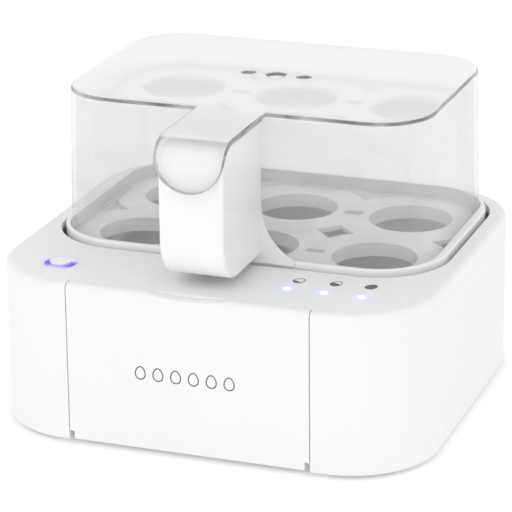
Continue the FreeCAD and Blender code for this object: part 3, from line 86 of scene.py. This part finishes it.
class Finish:
    # one material; add() makes any node, surface() closes it with a Principled shader
    def __init__(self, name):
        self.material = bpy.data.materials.new(name)
        self.material.use_nodes = True
        self.tree = self.material.node_tree
        self.tree.nodes.clear()

    def add(self, kind, settings=None, values=None, out=0):
        made = self.tree.nodes.new(kind)
        for key, value in (settings or {}).items():
            setattr(made, key, value)
        for key, value in (values or {}).items():
            if isinstance(value, Wire):
                self.tree.links.new(value.socket, made.inputs[key])
            else:
                made.inputs[key].default_value = value
        return Wire(self, made.outputs[out]) if out is not None else None

    def place(self, centre=(0, 0, 0), stretch=(1, 1, 1)):
        # object coordinates, with the pattern's centre moved, then stretched
        spot = self.add("ShaderNodeTexCoord", out="Object")
        moved = self.add("ShaderNodeVectorMath", {"operation": "SUBTRACT"}, {0: spot, 1: centre})
        return self.add("ShaderNodeMapping", {"vector_type": "POINT"}, {"Vector": moved, "Scale": stretch})

    def noise(self, spot, scale, detail=3.0, rough=0.5):
        return self.add("ShaderNodeTexNoise", {"noise_dimensions": "3D"},
                        {"Vector": spot, "Scale": scale, "Detail": detail, "Roughness": rough})

    def ramp(self, amount, low, high, start=0.0, end=1.0):
        # a number carried from one span to another, held at both ends
        return self.add("ShaderNodeMapRange", {"clamp": True},
                        {"Value": amount, "From Min": low, "From Max": high, "To Min": start, "To Max": end})

    def split(self, spot):
        made = self.tree.nodes.new("ShaderNodeSeparateXYZ")
        self.tree.links.new(spot.socket, made.inputs[0])
        return [Wire(self, socket) for socket in made.outputs]

    def blend(self, amount, first, second):
        # one colour turning into another
        made = self.tree.nodes.new("ShaderNodeMix")
        made.data_type = "RGBA"
        for socket, value in zip((made.inputs[0], made.inputs[6], made.inputs[7]), (amount, first, second)):
            if isinstance(value, Wire):
                self.tree.links.new(value.socket, socket)
            elif isinstance(value, tuple):
                socket.default_value = (*value, 1.0)
            else:
                socket.default_value = value
        return Wire(self, made.outputs[2])

    def bump(self, height, depth, strength=1.0):
        return self.add("ShaderNodeBump", None, {"Height": height, "Distance": depth, "Strength": strength},
                        out="Normal")

    def surface(self, letLampsThrough=False, **values):
        # keyword names stand for the shader's sockets: baseColor for Base Color, and so on;
        # clear plastic can let lamps through, so that what is inside isn't left in its shade
        shader = self.tree.nodes.new("ShaderNodeBsdfPrincipled")
        for key, value in values.items():
            words = "".join(" " + letter if letter.isupper() else letter for letter in key)
            socket = shader.inputs[words.title().replace("Ior", "IOR")]
            if isinstance(value, Wire):
                self.tree.links.new(value.socket, socket)
            elif isinstance(value, tuple):
                socket.default_value = (*value, 1.0) if len(socket.default_value) == 4 else value
            else:
                socket.default_value = value
        last = Wire(self, shader.outputs[0])
        if letLampsThrough:
            fromLamp = self.add("ShaderNodeLightPath", out="Is Shadow Ray")
            last = self.add("ShaderNodeMixShader", None,
                            {0: fromLamp, 1: last, 2: self.add("ShaderNodeBsdfTransparent")})
        self.add("ShaderNodeOutputMaterial", None, {"Surface": last}, out=None)
        return self.material


def distance(x, y):
    # square root of the sum of the two squares
    return (x * x + y * y) ** 0.5


def lampBells(x, y, spread):
    # a bell curve of the distance from each lamp, all added up
    glow = 0.0
    for lamp in lampPlaces:
        fromX, fromY = x - lamp[0], y - lamp[1]
        glow = glow + ((fromX * fromX + fromY * fromY) / spread ** 2).fall()
    return glow


def dress(material, *names):
    for name in names:
        nodes[name].data.materials.clear()
        nodes[name].data.materials.append(material)


def mouldedPlastic(name, colour, gloss=0.35, grain=0.35, fleck=0.012, coat=0.0):
    # satin moulded plastic: fine spark-eroded grain, slow flow marks in the gloss, a trace of colour drift
    finish = Finish(name)
    spot = finish.place()
    fine = finish.noise(spot, 1500.0, 2.0)
    slow = finish.noise(spot, 18.0, 3.0)
    darker = tuple(channel * (1 - 2 * fleck) for channel in colour)
    tint = finish.blend(finish.ramp(slow, 0.35, 0.65), darker, colour)
    dull = gloss - 0.05 + 0.1 * slow + 0.04 * fine
    return finish.surface(baseColor=tint, roughness=dull, coatWeight=coat, coatRoughness=0.08,
                          normal=finish.bump(fine, grain * 0.02 * mm, 0.6))


def mouldedRubber(name, colour):
    # matt rubber with a dusty bloom and a fine pebbled skin
    finish = Finish(name)
    spot = finish.place()
    pebble = finish.add("ShaderNodeTexVoronoi", {"feature": "SMOOTH_F1"}, {"Vector": spot, "Scale": 900.0})
    bloom = finish.noise(spot, 60.0, 4.0)
    pale = tuple(min(1.0, channel * 1.25 + 0.02) for channel in colour)
    return finish.surface(baseColor=finish.blend(finish.ramp(bloom, 0.4, 0.75), colour, pale),
                          roughness=0.7 + 0.2 * bloom, normal=finish.bump(pebble, 0.03 * mm, 0.5))


def drawnMetal(name, colour, gloss=0.25, stretch=(1, 40, 1), scratch=0.02, heat=None):
    # rolled or drawn metal: long fine lines along one way, cloudy gloss, and a heat tint if it is given
    finish = Finish(name)
    lines = finish.noise(finish.place(stretch=stretch), 220.0, 5.0, 0.7)
    cloud = finish.noise(finish.place(), 35.0, 3.0)
    dark = tuple(channel * 0.82 for channel in colour)
    tint = finish.blend(finish.ramp(lines, 0.3, 0.7), dark, colour)
    if heat:
        tint = finish.blend(finish.ramp(cloud, 0.45, 0.7), tint, heat)
    return finish.surface(baseColor=tint, metallic=1.0, roughness=gloss + 0.14 * lines + 0.08 * cloud,
                          normal=finish.bump(lines, scratch * mm, 0.5))


def circuitBoard(name):
    # green solder mask over copper tracks: a brick pattern raises the tracks,
    # and a cell pattern bares the pads
    finish = Finish(name)
    spot = finish.place()
    cells = finish.add("ShaderNodeTexVoronoi", {"feature": "F1", "distance": "MANHATTAN"},
                       {"Vector": spot, "Scale": 260.0})
    weave = finish.add("ShaderNodeTexBrick", {"offset": 0.5},
                       {"Vector": spot, "Scale": 420.0, "Mortar Size": 0.03, "Bias": 0.0}, out="Fac")
    track = finish.ramp(weave, 0.3, 0.7)
    pad = finish.ramp(cells, 0.12, 0.08)
    mask = finish.blend(track, (0.02, 0.16, 0.07), (0.04, 0.27, 0.11))
    return finish.surface(baseColor=finish.blend(pad, mask, (0.72, 0.7, 0.62)), roughness=0.4 - 0.12 * pad,
                          normal=finish.bump(track + pad, 0.05 * mm, 0.7))


shellLook = {
    "colour": (0.875, 0.876, 0.88),
    "drift": 0.985,                     # how far the colour drifts across the moulding
    "lampGlow": (0.58, 0.62, 0.98),     # the light that the lamps leave on the deck
    "lampLight": (0.22, 0.24, 0.6),     # and how much of it the deck gives out
    "lampSpread": 2.6 * mm,
    # painted glow of the button's ring on the deck, with its spread and share
    "ringGlow": (0.72, 0.70, 0.97),
    "ringSpread": 2.0 * mm,
    "ringShare": 0.55,
    "gloss": 0.38,
}


def shellPlastic():
    # satin white shell with painted light: round each lamp and the button's ring the plastic is tinted with
    # their glow, falling off as a bell curve of the distance, only on the upper side; round the lamps it also
    # gives out a faint painted glow
    finish = Finish("satinShell")
    spot = finish.place()
    fine = finish.noise(spot, 1400.0, 2.0)
    slow = finish.noise(spot, 14.0, 3.0)
    drift = tuple(channel * shellLook["drift"] for channel in shellLook["colour"])
    tint = finish.blend(finish.ramp(slow, 0.35, 0.65), drift, shellLook["colour"])
    x, y, z = finish.split(spot)
    onDeck = finish.ramp(z, deckTop - 0.6 * mm, deckTop - 0.2 * mm)
    lampGlowMask = (lampBells(x, y, shellLook["lampSpread"]) * onDeck).clamped()
    beyond = (distance(x - ringPlace[0], y - ringPlace[1]) - ringOuter) / shellLook["ringSpread"]
    ringGlowMask = (beyond * beyond).fall() * onDeck
    # painted light: the lamps' and the ring's glow laid on the deck's colour, and given out round the lamps
    tint = finish.blend(lampGlowMask, tint, shellLook["lampGlow"])
    tint = finish.blend((ringGlowMask * shellLook["ringShare"]).clamped(), tint, shellLook["ringGlow"])
    light = finish.blend(lampGlowMask, (0.0, 0.0, 0.0), shellLook["lampLight"])
    return finish.surface(baseColor=tint, roughness=shellLook["gloss"] - 0.05 + 0.1 * slow + 0.04 * fine,
                          emissionColor=light, emissionStrength=1.0,
                          normal=finish.bump(fine, 0.008 * mm, 0.6))


lidLook = {
    "tint": (0.985, 0.988, 0.99),
    "wallShade": (0.76, 0.765, 0.78),    # painted shade: the wall is given a grey that the top doesn't have; the wall is also thinner than the top
    "edgeShadeDark": (0.10, 0.10, 0.105),     # painted shade on the plate's edge, where the plastic is seen on end, in dark and paler streaks
    "edgeShadePale": (0.46, 0.46, 0.48),
    "ior": 1.46,
    "milk": 0.66,                       # share of plain white in the clear plastic
    "wallDensity": 0.24,
    "slantDensity": 0.75,               # of the wall, where it is looked along and not through; painted shade, as the wall's grey shows more there
    "slant": (0.72, 0.98),              # how far along, from where that starts to where it is full
    # painted reflection: the top made dense and white, as the bright surroundings reflected in it
    "topDensity": 0.93,
    "edgeShadeDensity": 0.96,
    "skin": (0.9 * mm, 0.3 * mm),       # the top's own surface, below the lid's highest point
    "plate": 2.2 * mm,                  # thickness of the lid's top
    "tintBand": 4.0 * mm,               # height over which the wall turns into the top
    "lip": 0.9 * mm,                    # height of the painted-shade grey line round the wall's foot
    "tongueHalf": 14.5 * mm,
    "tongueMiddle": 6.1 * mm,           # middle of the tongue's round end, below the lid's top
    "tongueBack": -38.5 * mm,
    "tongueShare": 0.8,                 # how much of the plate's edge line the tongue interrupts
}


def clearLid():
    # clear moulded plastic with painted light: densest on its top, made white there as a painted reflection
    # of the bright surroundings, and greyer in its wall with painted shade that thickens where the wall is
    # looked along and in a grey line round its foot; the edges of its top plate and tongue carry painted
    # shade in long dark and pale streaks. The plate's edge is a band of heights, and the tongue's is what
    # lies at its half width, or that far from the middle of its round end
    finish = Finish("clearLid")
    spot = finish.place()
    x, y, z = finish.split(spot)
    lidFoot, lidTop = (corner.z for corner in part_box("lid_shell"))
    skinLow, skinHigh = lidLook["skin"]
    onTop = finish.ramp(z, lidTop - skinLow, lidTop - skinHigh)
    inPlate = finish.ramp(z, lidTop - lidLook["plate"], lidTop - lidLook["plate"] + 0.5 * mm) * finish.ramp(
        z, lidTop - 0.7 * mm, lidTop - skinHigh, 1.0, 0.0)
    lip = finish.ramp(z, lidFoot + 0.6 * lidLook["lip"], lidFoot + lidLook["lip"], 1.0, 0.0)
    half = lidLook["tongueHalf"]
    onTongue = finish.ramp(y, lidLook["tongueBack"], lidLook["tongueBack"] + mm, 1.0, 0.0)
    below = x.maths("MINIMUM", z - (lidTop - lidLook["tongueMiddle"]), 0.0)
    tongueEdge = finish.ramp(distance(x, below), half - 0.25 * mm, half - 0.1 * mm) * onTongue
    edge = x.maths("MAXIMUM", inPlate * (1 - lidLook["tongueShare"] * onTongue), tongueEdge)
    # painted shade: the wall grows denser, so its grey shows, where it is looked along and round its foot
    facing = finish.add("ShaderNodeLayerWeight", None, {"Blend": 0.5}, out="Facing")
    along = x.maths("MAXIMUM", finish.ramp(facing, *lidLook["slant"]), lip)
    wall = lidLook["wallDensity"] + (lidLook["slantDensity"] - lidLook["wallDensity"]) * along
    density = wall + (lidLook["topDensity"] - wall) * onTop + (lidLook["edgeShadeDensity"] - wall) * edge
    # painted shade on the plate's and tongue's edges, in long dark and pale streaks
    streaks = finish.noise(finish.place(stretch=(1, 1, 6)), 55.0, 4.0, 0.6)
    rim = finish.blend(finish.ramp(streaks, 0.38, 0.62), lidLook["edgeShadeDark"], lidLook["edgeShadePale"])
    # painted reflection: white towards the top and on the tongue; lower down the wall keeps its painted grey
    pale = x.maths("MAXIMUM", finish.ramp(z, lidTop - lidLook["tintBand"], lidTop - mm), onTongue)
    clear = finish.blend(pale, lidLook["wallShade"], lidLook["tint"])
    ripple = finish.noise(spot, 30.0, 2.0)
    wipes = finish.noise(finish.place(stretch=(1, 14, 6)), 160.0, 4.0, 0.7)
    return finish.surface(letLampsThrough=True, baseColor=finish.blend(edge, clear, rim),
                          roughness=0.03 + 0.03 * finish.ramp(wipes, 0.55, 0.8), ior=lidLook["ior"],
                          alpha=density.clamped(), transmissionWeight=1.0 - lidLook["milk"],
                          normal=finish.bump(ripple, 0.06 * mm, 0.35))


cupLook = {
    "tint": (0.93, 0.95, 0.96),
    "roughness": 0.06,
    "ior": 1.46,
    "density": 0.55,
}


def clearCup():
    # clear cup with a faint ripple from the mould and fine wiping marks in its gloss
    finish = Finish("clearCup")
    ripple = finish.noise(finish.place(), 45.0, 2.0)
    wipes = finish.noise(finish.place(stretch=(1, 14, 6)), 160.0, 4.0, 0.7)
    return finish.surface(letLampsThrough=True, baseColor=cupLook["tint"], ior=cupLook["ior"],
                          roughness=cupLook["roughness"] + 0.03 * finish.ramp(wipes, 0.55, 0.8),
                          alpha=cupLook["density"], transmissionWeight=1.0,
                          normal=finish.bump(ripple, 0.06 * mm, 0.35))


pipeLook = {
    "colour": (0.85, 0.87, 0.95),
    "middleGlow": (1.0, 1.0, 1.0),
    "edgeGlow": (0.42, 0.47, 1.0),
    "spread": 1.5 * mm,
    "strength": 0.85,
}


def litPipe():
    # light pipe and lens: white middle, pale blue towards the edge, after a bell curve round each lamp
    finish = Finish("litPipe")
    spot = finish.place()
    x, y = finish.split(spot)[:2]
    near = lampBells(x, y, pipeLook["spread"]).clamped()
    frost = finish.noise(spot, 2400.0, 2.0)
    light = finish.blend(near, pipeLook["edgeGlow"], pipeLook["middleGlow"])
    return finish.surface(baseColor=pipeLook["colour"], roughness=0.25 + 0.1 * frost, emissionColor=light,
                          emissionStrength=pipeLook["strength"], normal=finish.bump(frost, 0.01 * mm, 0.4))


ringLook = {
    "sideTone": (0.115, 0.07, 0.62),    # violet, painted shade on the ring's sides
    "frontTone": (0.60, 0.58, 0.95),    # lavender
    "backTone": (0.80, 0.79, 0.88),     # nearly white, painted light on the ring's back
    "strength": 0.18,
}


def litRing():
    # the button's ring, with painted light and shade: its tone turns with the sine and cosine of the angle
    # round its middle, the sides painted a darker violet and the back painted nearly white, and it gives that
    # tone out as its glow
    finish = Finish("litRing")
    x, y = finish.split(finish.place(centre=(ringPlace[0], ringPlace[1], 0)))[:2]
    reach = distance(x, y)
    side = (x * x) ** 0.5 / reach
    # painted shade on the ring's sides and painted light on its back
    rear = finish.ramp(y / reach, 0.1, 0.85)
    front = finish.blend(finish.ramp(side, 0.35, 0.95), ringLook["frontTone"], ringLook["sideTone"])
    tone = finish.blend(rear, front, ringLook["backTone"])
    frost = finish.noise(finish.place(), 1800.0, 2.0)
    return finish.surface(baseColor=tone, roughness=0.3 + 0.1 * frost, emissionColor=tone,
                          emissionStrength=ringLook["strength"], normal=finish.bump(frost, 0.01 * mm, 0.4))


capLook = {
    "colour": (0.89, 0.89, 0.90),
    "sideGlow": (0.52, 0.47, 0.93),     # the ring's light on the cap's side
    "sideLight": (0.10, 0.08, 0.22),    # and how much of it the side gives out
    "glowTop": 0.75 * mm,               # above the deck, where that light ends
}


def litCap():
    # polished white cap; the ring's light is painted on its side, as colour and a faint glow, up to just
    # under its top
    finish = Finish("litCap")
    spot = finish.place()
    z = finish.split(spot)[2]
    fine = finish.noise(spot, 1500.0, 2.0)
    glowEnd = deckTop + capLook["glowTop"]
    # painted light: the ring's glow on the cap's side
    side = finish.ramp(z, glowEnd, glowEnd - 0.3 * mm)
    tone = finish.blend(side, capLook["colour"], capLook["sideGlow"])
    light = finish.blend(side, (0.0, 0.0, 0.0), capLook["sideLight"])
    return finish.surface(baseColor=tone, roughness=0.18 + 0.06 * fine, coatWeight=0.4, coatRoughness=0.08,
                          emissionColor=light, emissionStrength=1.0,
                          normal=finish.bump(fine, 0.003 * mm, 0.5))


def printInk(name, colour):
    # pad-printed ink: almost flat, with a faint screen texture
    finish = Finish(name)
    spot = finish.place()
    screen = finish.noise(spot, 5200.0, 2.0)
    pale = tuple(min(1.0, channel * 1.2) for channel in colour)
    return finish.surface(baseColor=finish.blend(finish.ramp(screen, 0.35, 0.7), colour, pale),
                          roughness=0.45 + 0.2 * screen, normal=finish.bump(screen, 0.004 * mm, 0.5))


# places that the finishes and the added pieces share, read from the CAD
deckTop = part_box("base_housing")[1].z
ringLow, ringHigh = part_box("button_light_ring")
ringPlace = ((ringLow.x + ringHigh.x) / 2, (ringLow.y + ringHigh.y) / 2)
ringOuter = (ringHigh.x - ringLow.x) / 2
pipeLow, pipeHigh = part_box("indicator_light_pipes")
pipeFoot = 2.7 * mm                     # the light pipe's foot is its widest part
lampRadius = 1.7 * mm
lampY = (pipeLow.y + pipeHigh.y) / 2
lampStep = (pipeHigh.x - pipeLow.x - 2 * pipeFoot) / 2
lampPlaces = [(pipeLow.x + pipeFoot + n * lampStep, lampY) for n in range(3)]
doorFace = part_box("front_door")[0].y

dress(shellPlastic(), "base_housing", "front_door")
dress(clearLid(), "lid_shell")
pipePlastic = litPipe()
dress(pipePlastic, "indicator_light_pipes")
dress(litRing(), "button_light_ring")
dress(litCap(), "power_button")
dress(clearCup(), "measuring_cup")
dress(circuitBoard("solderMask"), "control_board", "button_board", "power_board")

# finishes of the plainer parts: how each is made, its values, and the parts that it goes on
plainFinishes = {
    "polishedCarrier": (mouldedPlastic, {"colour": (0.885, 0.888, 0.9), "gloss": 0.2, "grain": 0.12,
                                         "coat": 0.35}, ["carrier_frame", "handle_cover"]),
    "satinRack": (mouldedPlastic, {"colour": (0.91, 0.89, 0.88), "gloss": 0.36, "grain": 0.3}, ["egg_rack"]),
    "greyPlate": (mouldedPlastic, {"colour": (0.62, 0.62, 0.62), "gloss": 0.5, "grain": 0.6}, ["base_plate"]),
    "bayPlastic": (mouldedPlastic, {"colour": (0.8, 0.8, 0.8), "gloss": 0.45, "grain": 0.5},
                   ["accessory_bay", "door_tray"]),
    "prickerPlastic": (mouldedPlastic, {"colour": (0.78, 0.78, 0.78), "gloss": 0.35, "grain": 0.3},
                       ["egg_pricker"]),
    "blackPlastic": (mouldedPlastic, {"colour": (0.03, 0.03, 0.032), "gloss": 0.4, "grain": 0.6,
                                      "fleck": 0.1},
                     ["microcontroller", "buzzer", "tact_switch", "thermostat", "cord_gland", "door_magnet"]),
    "blueCase": (mouldedPlastic, {"colour": (0.04, 0.12, 0.42), "gloss": 0.3, "grain": 0.3, "fleck": 0.04},
                 ["relay"]),
    "yellowTape": (mouldedPlastic, {"colour": (0.66, 0.48, 0.09), "gloss": 0.35, "grain": 0.5, "fleck": 0.06},
                   ["transformer"]),
    "greenBlock": (mouldedPlastic, {"colour": (0.05, 0.3, 0.12), "gloss": 0.35, "grain": 0.4, "fleck": 0.04},
                   ["terminal_block"]),
    "ledEpoxy": (mouldedPlastic, {"colour": (0.82, 0.8, 0.62), "gloss": 0.25, "grain": 0.1},
                 ["indicator_leds"]),
    "paleSilicone": (mouldedRubber, {"colour": (0.72, 0.72, 0.72)},
                     ["bowl_gasket", "bowl_pads", "button_dome"]),
    "footRubber": (mouldedRubber, {"colour": (0.34, 0.34, 0.345)}, ["rubber_feet"]),
    "bowlSteel": (drawnMetal, {"colour": (0.62, 0.61, 0.6), "gloss": 0.2, "stretch": (1, 30, 1),
                               "scratch": 0.01}, ["heating_bowl"]),
    "millAluminium": (drawnMetal, {"colour": (0.78, 0.78, 0.79), "gloss": 0.3, "stretch": (30, 1, 1)},
                      ["heat_spreader", "heat_shield"]),
    "elementTube": (drawnMetal, {"colour": (0.42, 0.4, 0.38), "gloss": 0.35, "stretch": (1, 1, 20),
                                 "heat": (0.35, 0.2, 0.12)}, ["heating_element"]),
    "canMetal": (drawnMetal, {"colour": (0.55, 0.55, 0.57), "stretch": (1, 1, 12), "scratch": 0.01},
                 ["capacitor", "thermal_fuse"]),
    "zincPlate": (drawnMetal, {"colour": (0.72, 0.72, 0.7), "gloss": 0.28, "stretch": (4, 4, 1),
                               "scratch": 0.01},
                  ["base_screws", "handle_screws", "board_screws", "power_board_screws", "door_hinge_pins",
                   "element_terminals", "thermostat_bracket", "door_striker", "pricker_needle"]),
}
for name, (recipe, values, parts) in plainFinishes.items():
    dress(recipe(name, **values), *parts)
print("finishes:", len(bpy.data.materials), "materials on the CAD parts")


def gridMesh(name, points, roundRows=False, roundColumns=False, endPole=False):
    # points is rows x columns x 3; neighbours make quads, and a pole closes the last row at its middle
    rows, columns = points.shape[:2]
    index = np.arange(rows * columns).reshape(rows, columns)
    if roundRows:
        index = np.vstack([index, index[:1]])
    if roundColumns:
        index = np.hstack([index, index[:, :1]])
    a, b, c, d = index[:-1, :-1], index[1:, :-1], index[1:, 1:], index[:-1, 1:]
    quads = np.stack([a, b, c, d], -1).reshape(-1, 4)
    faces = quads.tolist()
    spots = points.reshape(-1, 3)
    if endPole:
        spots = np.vstack([spots, points[-1].mean(0)])
        tip = np.full(index.shape[1] - 1, len(spots) - 1)
        faces += np.stack([index[-1, 1:], index[-1, :-1], tip], -1).tolist()
    mesh = bpy.data.meshes.new(name)
    mesh.from_pydata(spots.tolist(), [], faces)
    mesh.shade_smooth()
    made = bpy.data.objects.new(name, mesh)
    bpy.context.scene.collection.objects.link(made)
    return made


def finishPiece(piece, material, body):
    piece.data.materials.append(material)
    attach(piece, body)
    return piece


def eggCurve(turn, length, width, blunt=0.16):
    # egg outline: along is half the length times cosine, across is half the width times sine,
    # made wider towards the blunt end by a share of the cosine
    along = -0.5 * length * np.cos(turn)
    across = 0.5 * width * np.sin(turn) * (1 + blunt * np.cos(turn))
    return across, along


# egg symbols printed beside the lamps
symbolLook = {
    "length": 5.4 * mm,
    "width": 4.2 * mm,
    "stroke": 0.4 * mm,
    "ink": 0.06 * mm,
    "lean": math.radians(27),
    "centres": ((34.7 * mm, -51.8 * mm), (49.9 * mm, -50.5 * mm), (64.3 * mm, -49.6 * mm)),
    "filled": (0.28, 0.5, 1.0),
    "colour": (0.115, 0.115, 0.12),
}


def eggRing(name, place, length, width, stroke, ink, steps=56):
    # flat band round an egg: the section is a low rectangle carried along the egg outline
    turn = np.linspace(0, 2 * math.pi, steps, endpoint=False)
    section = np.array([(0.5, 0.0), (0.5, 1.0), (-0.5, 1.0), (-0.5, 0.0)])
    across, along = eggCurve(turn, length, width)
    dAcross, dAlong = np.gradient(across), np.gradient(along)
    size = np.hypot(dAcross, dAlong)
    outX, outY = dAlong / size, -dAcross / size
    out = stroke * section[:, 0]
    u = across[None] + out[:, None] * outX[None]
    v = along[None] + out[:, None] * outY[None]
    high = np.broadcast_to((ink * section[:, 1])[:, None], u.shape)
    return gridMesh(name, place(u, v, high), roundRows=True, roundColumns=True)


def eggFill(name, place, length, width, share, ink, rows=14, columns=25):
    # the blunt end of an egg, filled up to a share of its length: across runs from side to side, along runs
    # from the end, and the upper edge bows a little; the rim drops to the surface, so the ink has an edge
    part = np.linspace(0.0, 1.0, rows)
    angle = np.arccos(1 - 2 * share * part * 0.998)
    side = np.linspace(-1.0, 1.0, columns)
    across, along = eggCurve(angle, length, width)
    u = across[:, None] * side[None]
    v = np.broadcast_to(along[:, None], u.shape).copy()
    bow = 0.12 * width if share < 1 else 0.0
    v += bow * (1 - side[None] ** 2) * part[:, None] ** 3
    rim = (np.abs(side)[None] > 0.999) | (part[:, None] < 0.001) | (part[:, None] > 0.999)
    high = np.where(rim, 0.0, ink)
    return gridMesh(name, place(u, v, high))


def deckPlace(centre, lean):
    # turned by the lean and moved to its centre on the deck
    def place(u, v, high):
        x = centre[0] + u * math.cos(lean) + v * math.sin(lean)
        y = centre[1] - u * math.sin(lean) + v * math.cos(lean)
        return np.stack([x, y, deckTop + high], -1)
    return place


def makeSymbols():
    # an outline and a fill for each share of water
    ink = printInk("greyInk", symbolLook["colour"])
    for n, (centre, share) in enumerate(zip(symbolLook["centres"], symbolLook["filled"])):
        place = deckPlace(centre, symbolLook["lean"])
        ring = eggRing(f"symbolRing{n + 1}", place, symbolLook["length"], symbolLook["width"],
                       symbolLook["stroke"], symbolLook["ink"])
        finishPiece(ring, ink, "base")
        fill = eggFill(f"symbolFill{n + 1}", place, symbolLook["length"], symbolLook["width"], share,
                       symbolLook["ink"])
        finishPiece(fill, ink, "base")
    print("symbols:", len(symbolLook["centres"]))


makeSymbols()


# row of six eggs printed on the door
doorPrint = {
    "middle": -2.5 * mm,
    "height": 35.1 * mm,
    "pitch": 7.6 * mm,
    "length": 5.4 * mm,
    "width": 4.2 * mm,
    "stroke": 0.5 * mm,
    "ink": 0.02 * mm,
    "count": 6,
    "colour": (0.09, 0.09, 0.095),
}


def makeDoorPrint():
    # egg outlines side by side, centred on the print's middle
    ink = printInk("doorInk", doorPrint["colour"])
    for n in range(doorPrint["count"]):
        left = doorPrint["middle"] + (n - (doorPrint["count"] - 1) / 2) * doorPrint["pitch"]

        def place(u, v, high, left=left):
            return np.stack([left + u, np.full(u.shape, doorFace) - high, doorPrint["height"] + v], -1)

        ring = eggRing(f"doorEgg{n + 1}", place, doorPrint["length"], doorPrint["width"], doorPrint["stroke"],
                       doorPrint["ink"])
        finishPiece(ring, ink, "door")
    print("door print:", doorPrint["count"], "eggs")


makeDoorPrint()


# low lens on each lamp
lensLook = {"rise": 0.35 * mm, "rings": 8, "steps": 36}


def makeLenses():
    # low dome: radius is the lamp's radius times the cosine, height the rise times the sine of a quarter turn
    quarter = np.linspace(0, math.pi / 2, lensLook["rings"], endpoint=False)
    turn = np.linspace(0, 2 * math.pi, lensLook["steps"], endpoint=False)
    reach = (lampRadius * np.cos(quarter))[:, None]
    high = (lensLook["rise"] * np.sin(quarter))[:, None]
    for n, lamp in enumerate(lampPlaces):
        x = lamp[0] + reach * np.cos(turn)[None]
        y = lamp[1] + reach * np.sin(turn)[None]
        z = np.broadcast_to(deckTop + 0.02 * mm + high, x.shape)
        lens = gridMesh(f"lampLens{n + 1}", np.stack([x, y, z], -1), roundColumns=True, endPole=True)
        finishPiece(lens, pipePlastic, "base")
    print("lenses:", len(lampPlaces))


makeLenses()


# plain floor and soft light
studio = {
    "worldLight": 0.93,
    "floorColour": (0.9, 0.9, 0.9),
    "floorLift": 0.2,
    "floorSize": 12.0,
    "lamps": {                          # place, the point it faces, width, height and power
        "frontLamp": ((0.15, -1.25, 1.35), (0, 0, 0.06), 1.6, 1.0, 2.6),
        "fillLamp": ((-0.7, -1.3, 0.3), (0, 0, 0.06), 1.2, 0.5, 0.8),
        "sideLamp": ((1.5, -0.5, 0.9), (0, 0, 0.08), 0.35, 1.2, 0.7),
    },
}


def softBox(name, place, target, width, height, power):
    # rectangular area lamp, turned to face a point
    lamp = bpy.data.lights.new(name, "AREA")
    lamp.shape = "RECTANGLE"
    lamp.size, lamp.size_y = width, height
    lamp.energy = power
    made = bpy.data.objects.new(name, lamp)
    bpy.context.scene.collection.objects.link(made)
    made.location = place
    made.rotation_mode = "QUATERNION"
    made.rotation_quaternion = (Vector(target) - Vector(place)).to_track_quat("-Z", "Y")


def makeStudio():
    world = bpy.data.worlds.new("studio")
    bpy.context.scene.world = world
    world.use_nodes = True
    back = world.node_tree.nodes["Background"]
    back.inputs["Color"].default_value = (1.0, 1.0, 1.0, 1.0)
    back.inputs["Strength"].default_value = studio["worldLight"]
    half = studio["floorSize"] / 2
    mesh = bpy.data.meshes.new("floor")
    corners = [(-half, -half, 0), (half, -half, 0), (half, half, 0), (-half, half, 0)]
    mesh.from_pydata(corners, [], [(0, 1, 2, 3)])
    floor = bpy.data.objects.new("floor", mesh)
    bpy.context.scene.collection.objects.link(floor)
    finish = Finish("floorPaper")
    fibre = finish.noise(finish.place(), 300.0, 3.0)
    mesh.materials.append(finish.surface(
        baseColor=studio["floorColour"], roughness=0.85 + 0.1 * fibre, specularIorLevel=0.1,
        emissionColor=(1.0, 1.0, 1.0), emissionStrength=studio["floorLift"]))
    for name, lamp in studio["lamps"].items():
        softBox(name, *lamp)


view = {
    "azimuth": math.radians(19.96),     # from the front, towards +X
    "elevation": math.radians(18.916),
    "roll": math.radians(-0.53),
    "distance": 1.1245,
    "target": (0.0, 0.0, 0.074),
    "lens": 187.4,
    "shift": (-0.011, -0.0678),
}


def makeCamera():
    # stands on a sphere round the target, looks at its middle and is then rolled a little
    azimuth, elevation, roll = view["azimuth"], view["elevation"], view["roll"]
    level = math.cos(elevation)
    back = Vector((math.sin(azimuth) * level, -math.cos(azimuth) * level, math.sin(elevation)))
    right = Vector((math.cos(azimuth), math.sin(azimuth), 0.0))
    up = back.cross(right)
    right, up = (right * math.cos(roll) + up * math.sin(roll), up * math.cos(roll) - right * math.sin(roll))
    data = bpy.data.cameras.new("camera")
    data.sensor_width = 36.0
    data.lens = view["lens"]
    data.shift_x, data.shift_y = view["shift"]
    data.clip_start, data.clip_end = 0.05, 50.0
    camera = bpy.data.objects.new("camera", data)
    bpy.context.scene.collection.objects.link(camera)
    place = Vector(view["target"]) + back * view["distance"]
    turn = Matrix((right, up, back)).transposed().to_4x4()
    camera.matrix_world = Matrix.Translation(place) @ turn
    bpy.context.scene.camera = camera


makeStudio()
makeCamera()
bpy.context.scene.view_settings.view_transform = "Standard"
print("studio and camera ready")
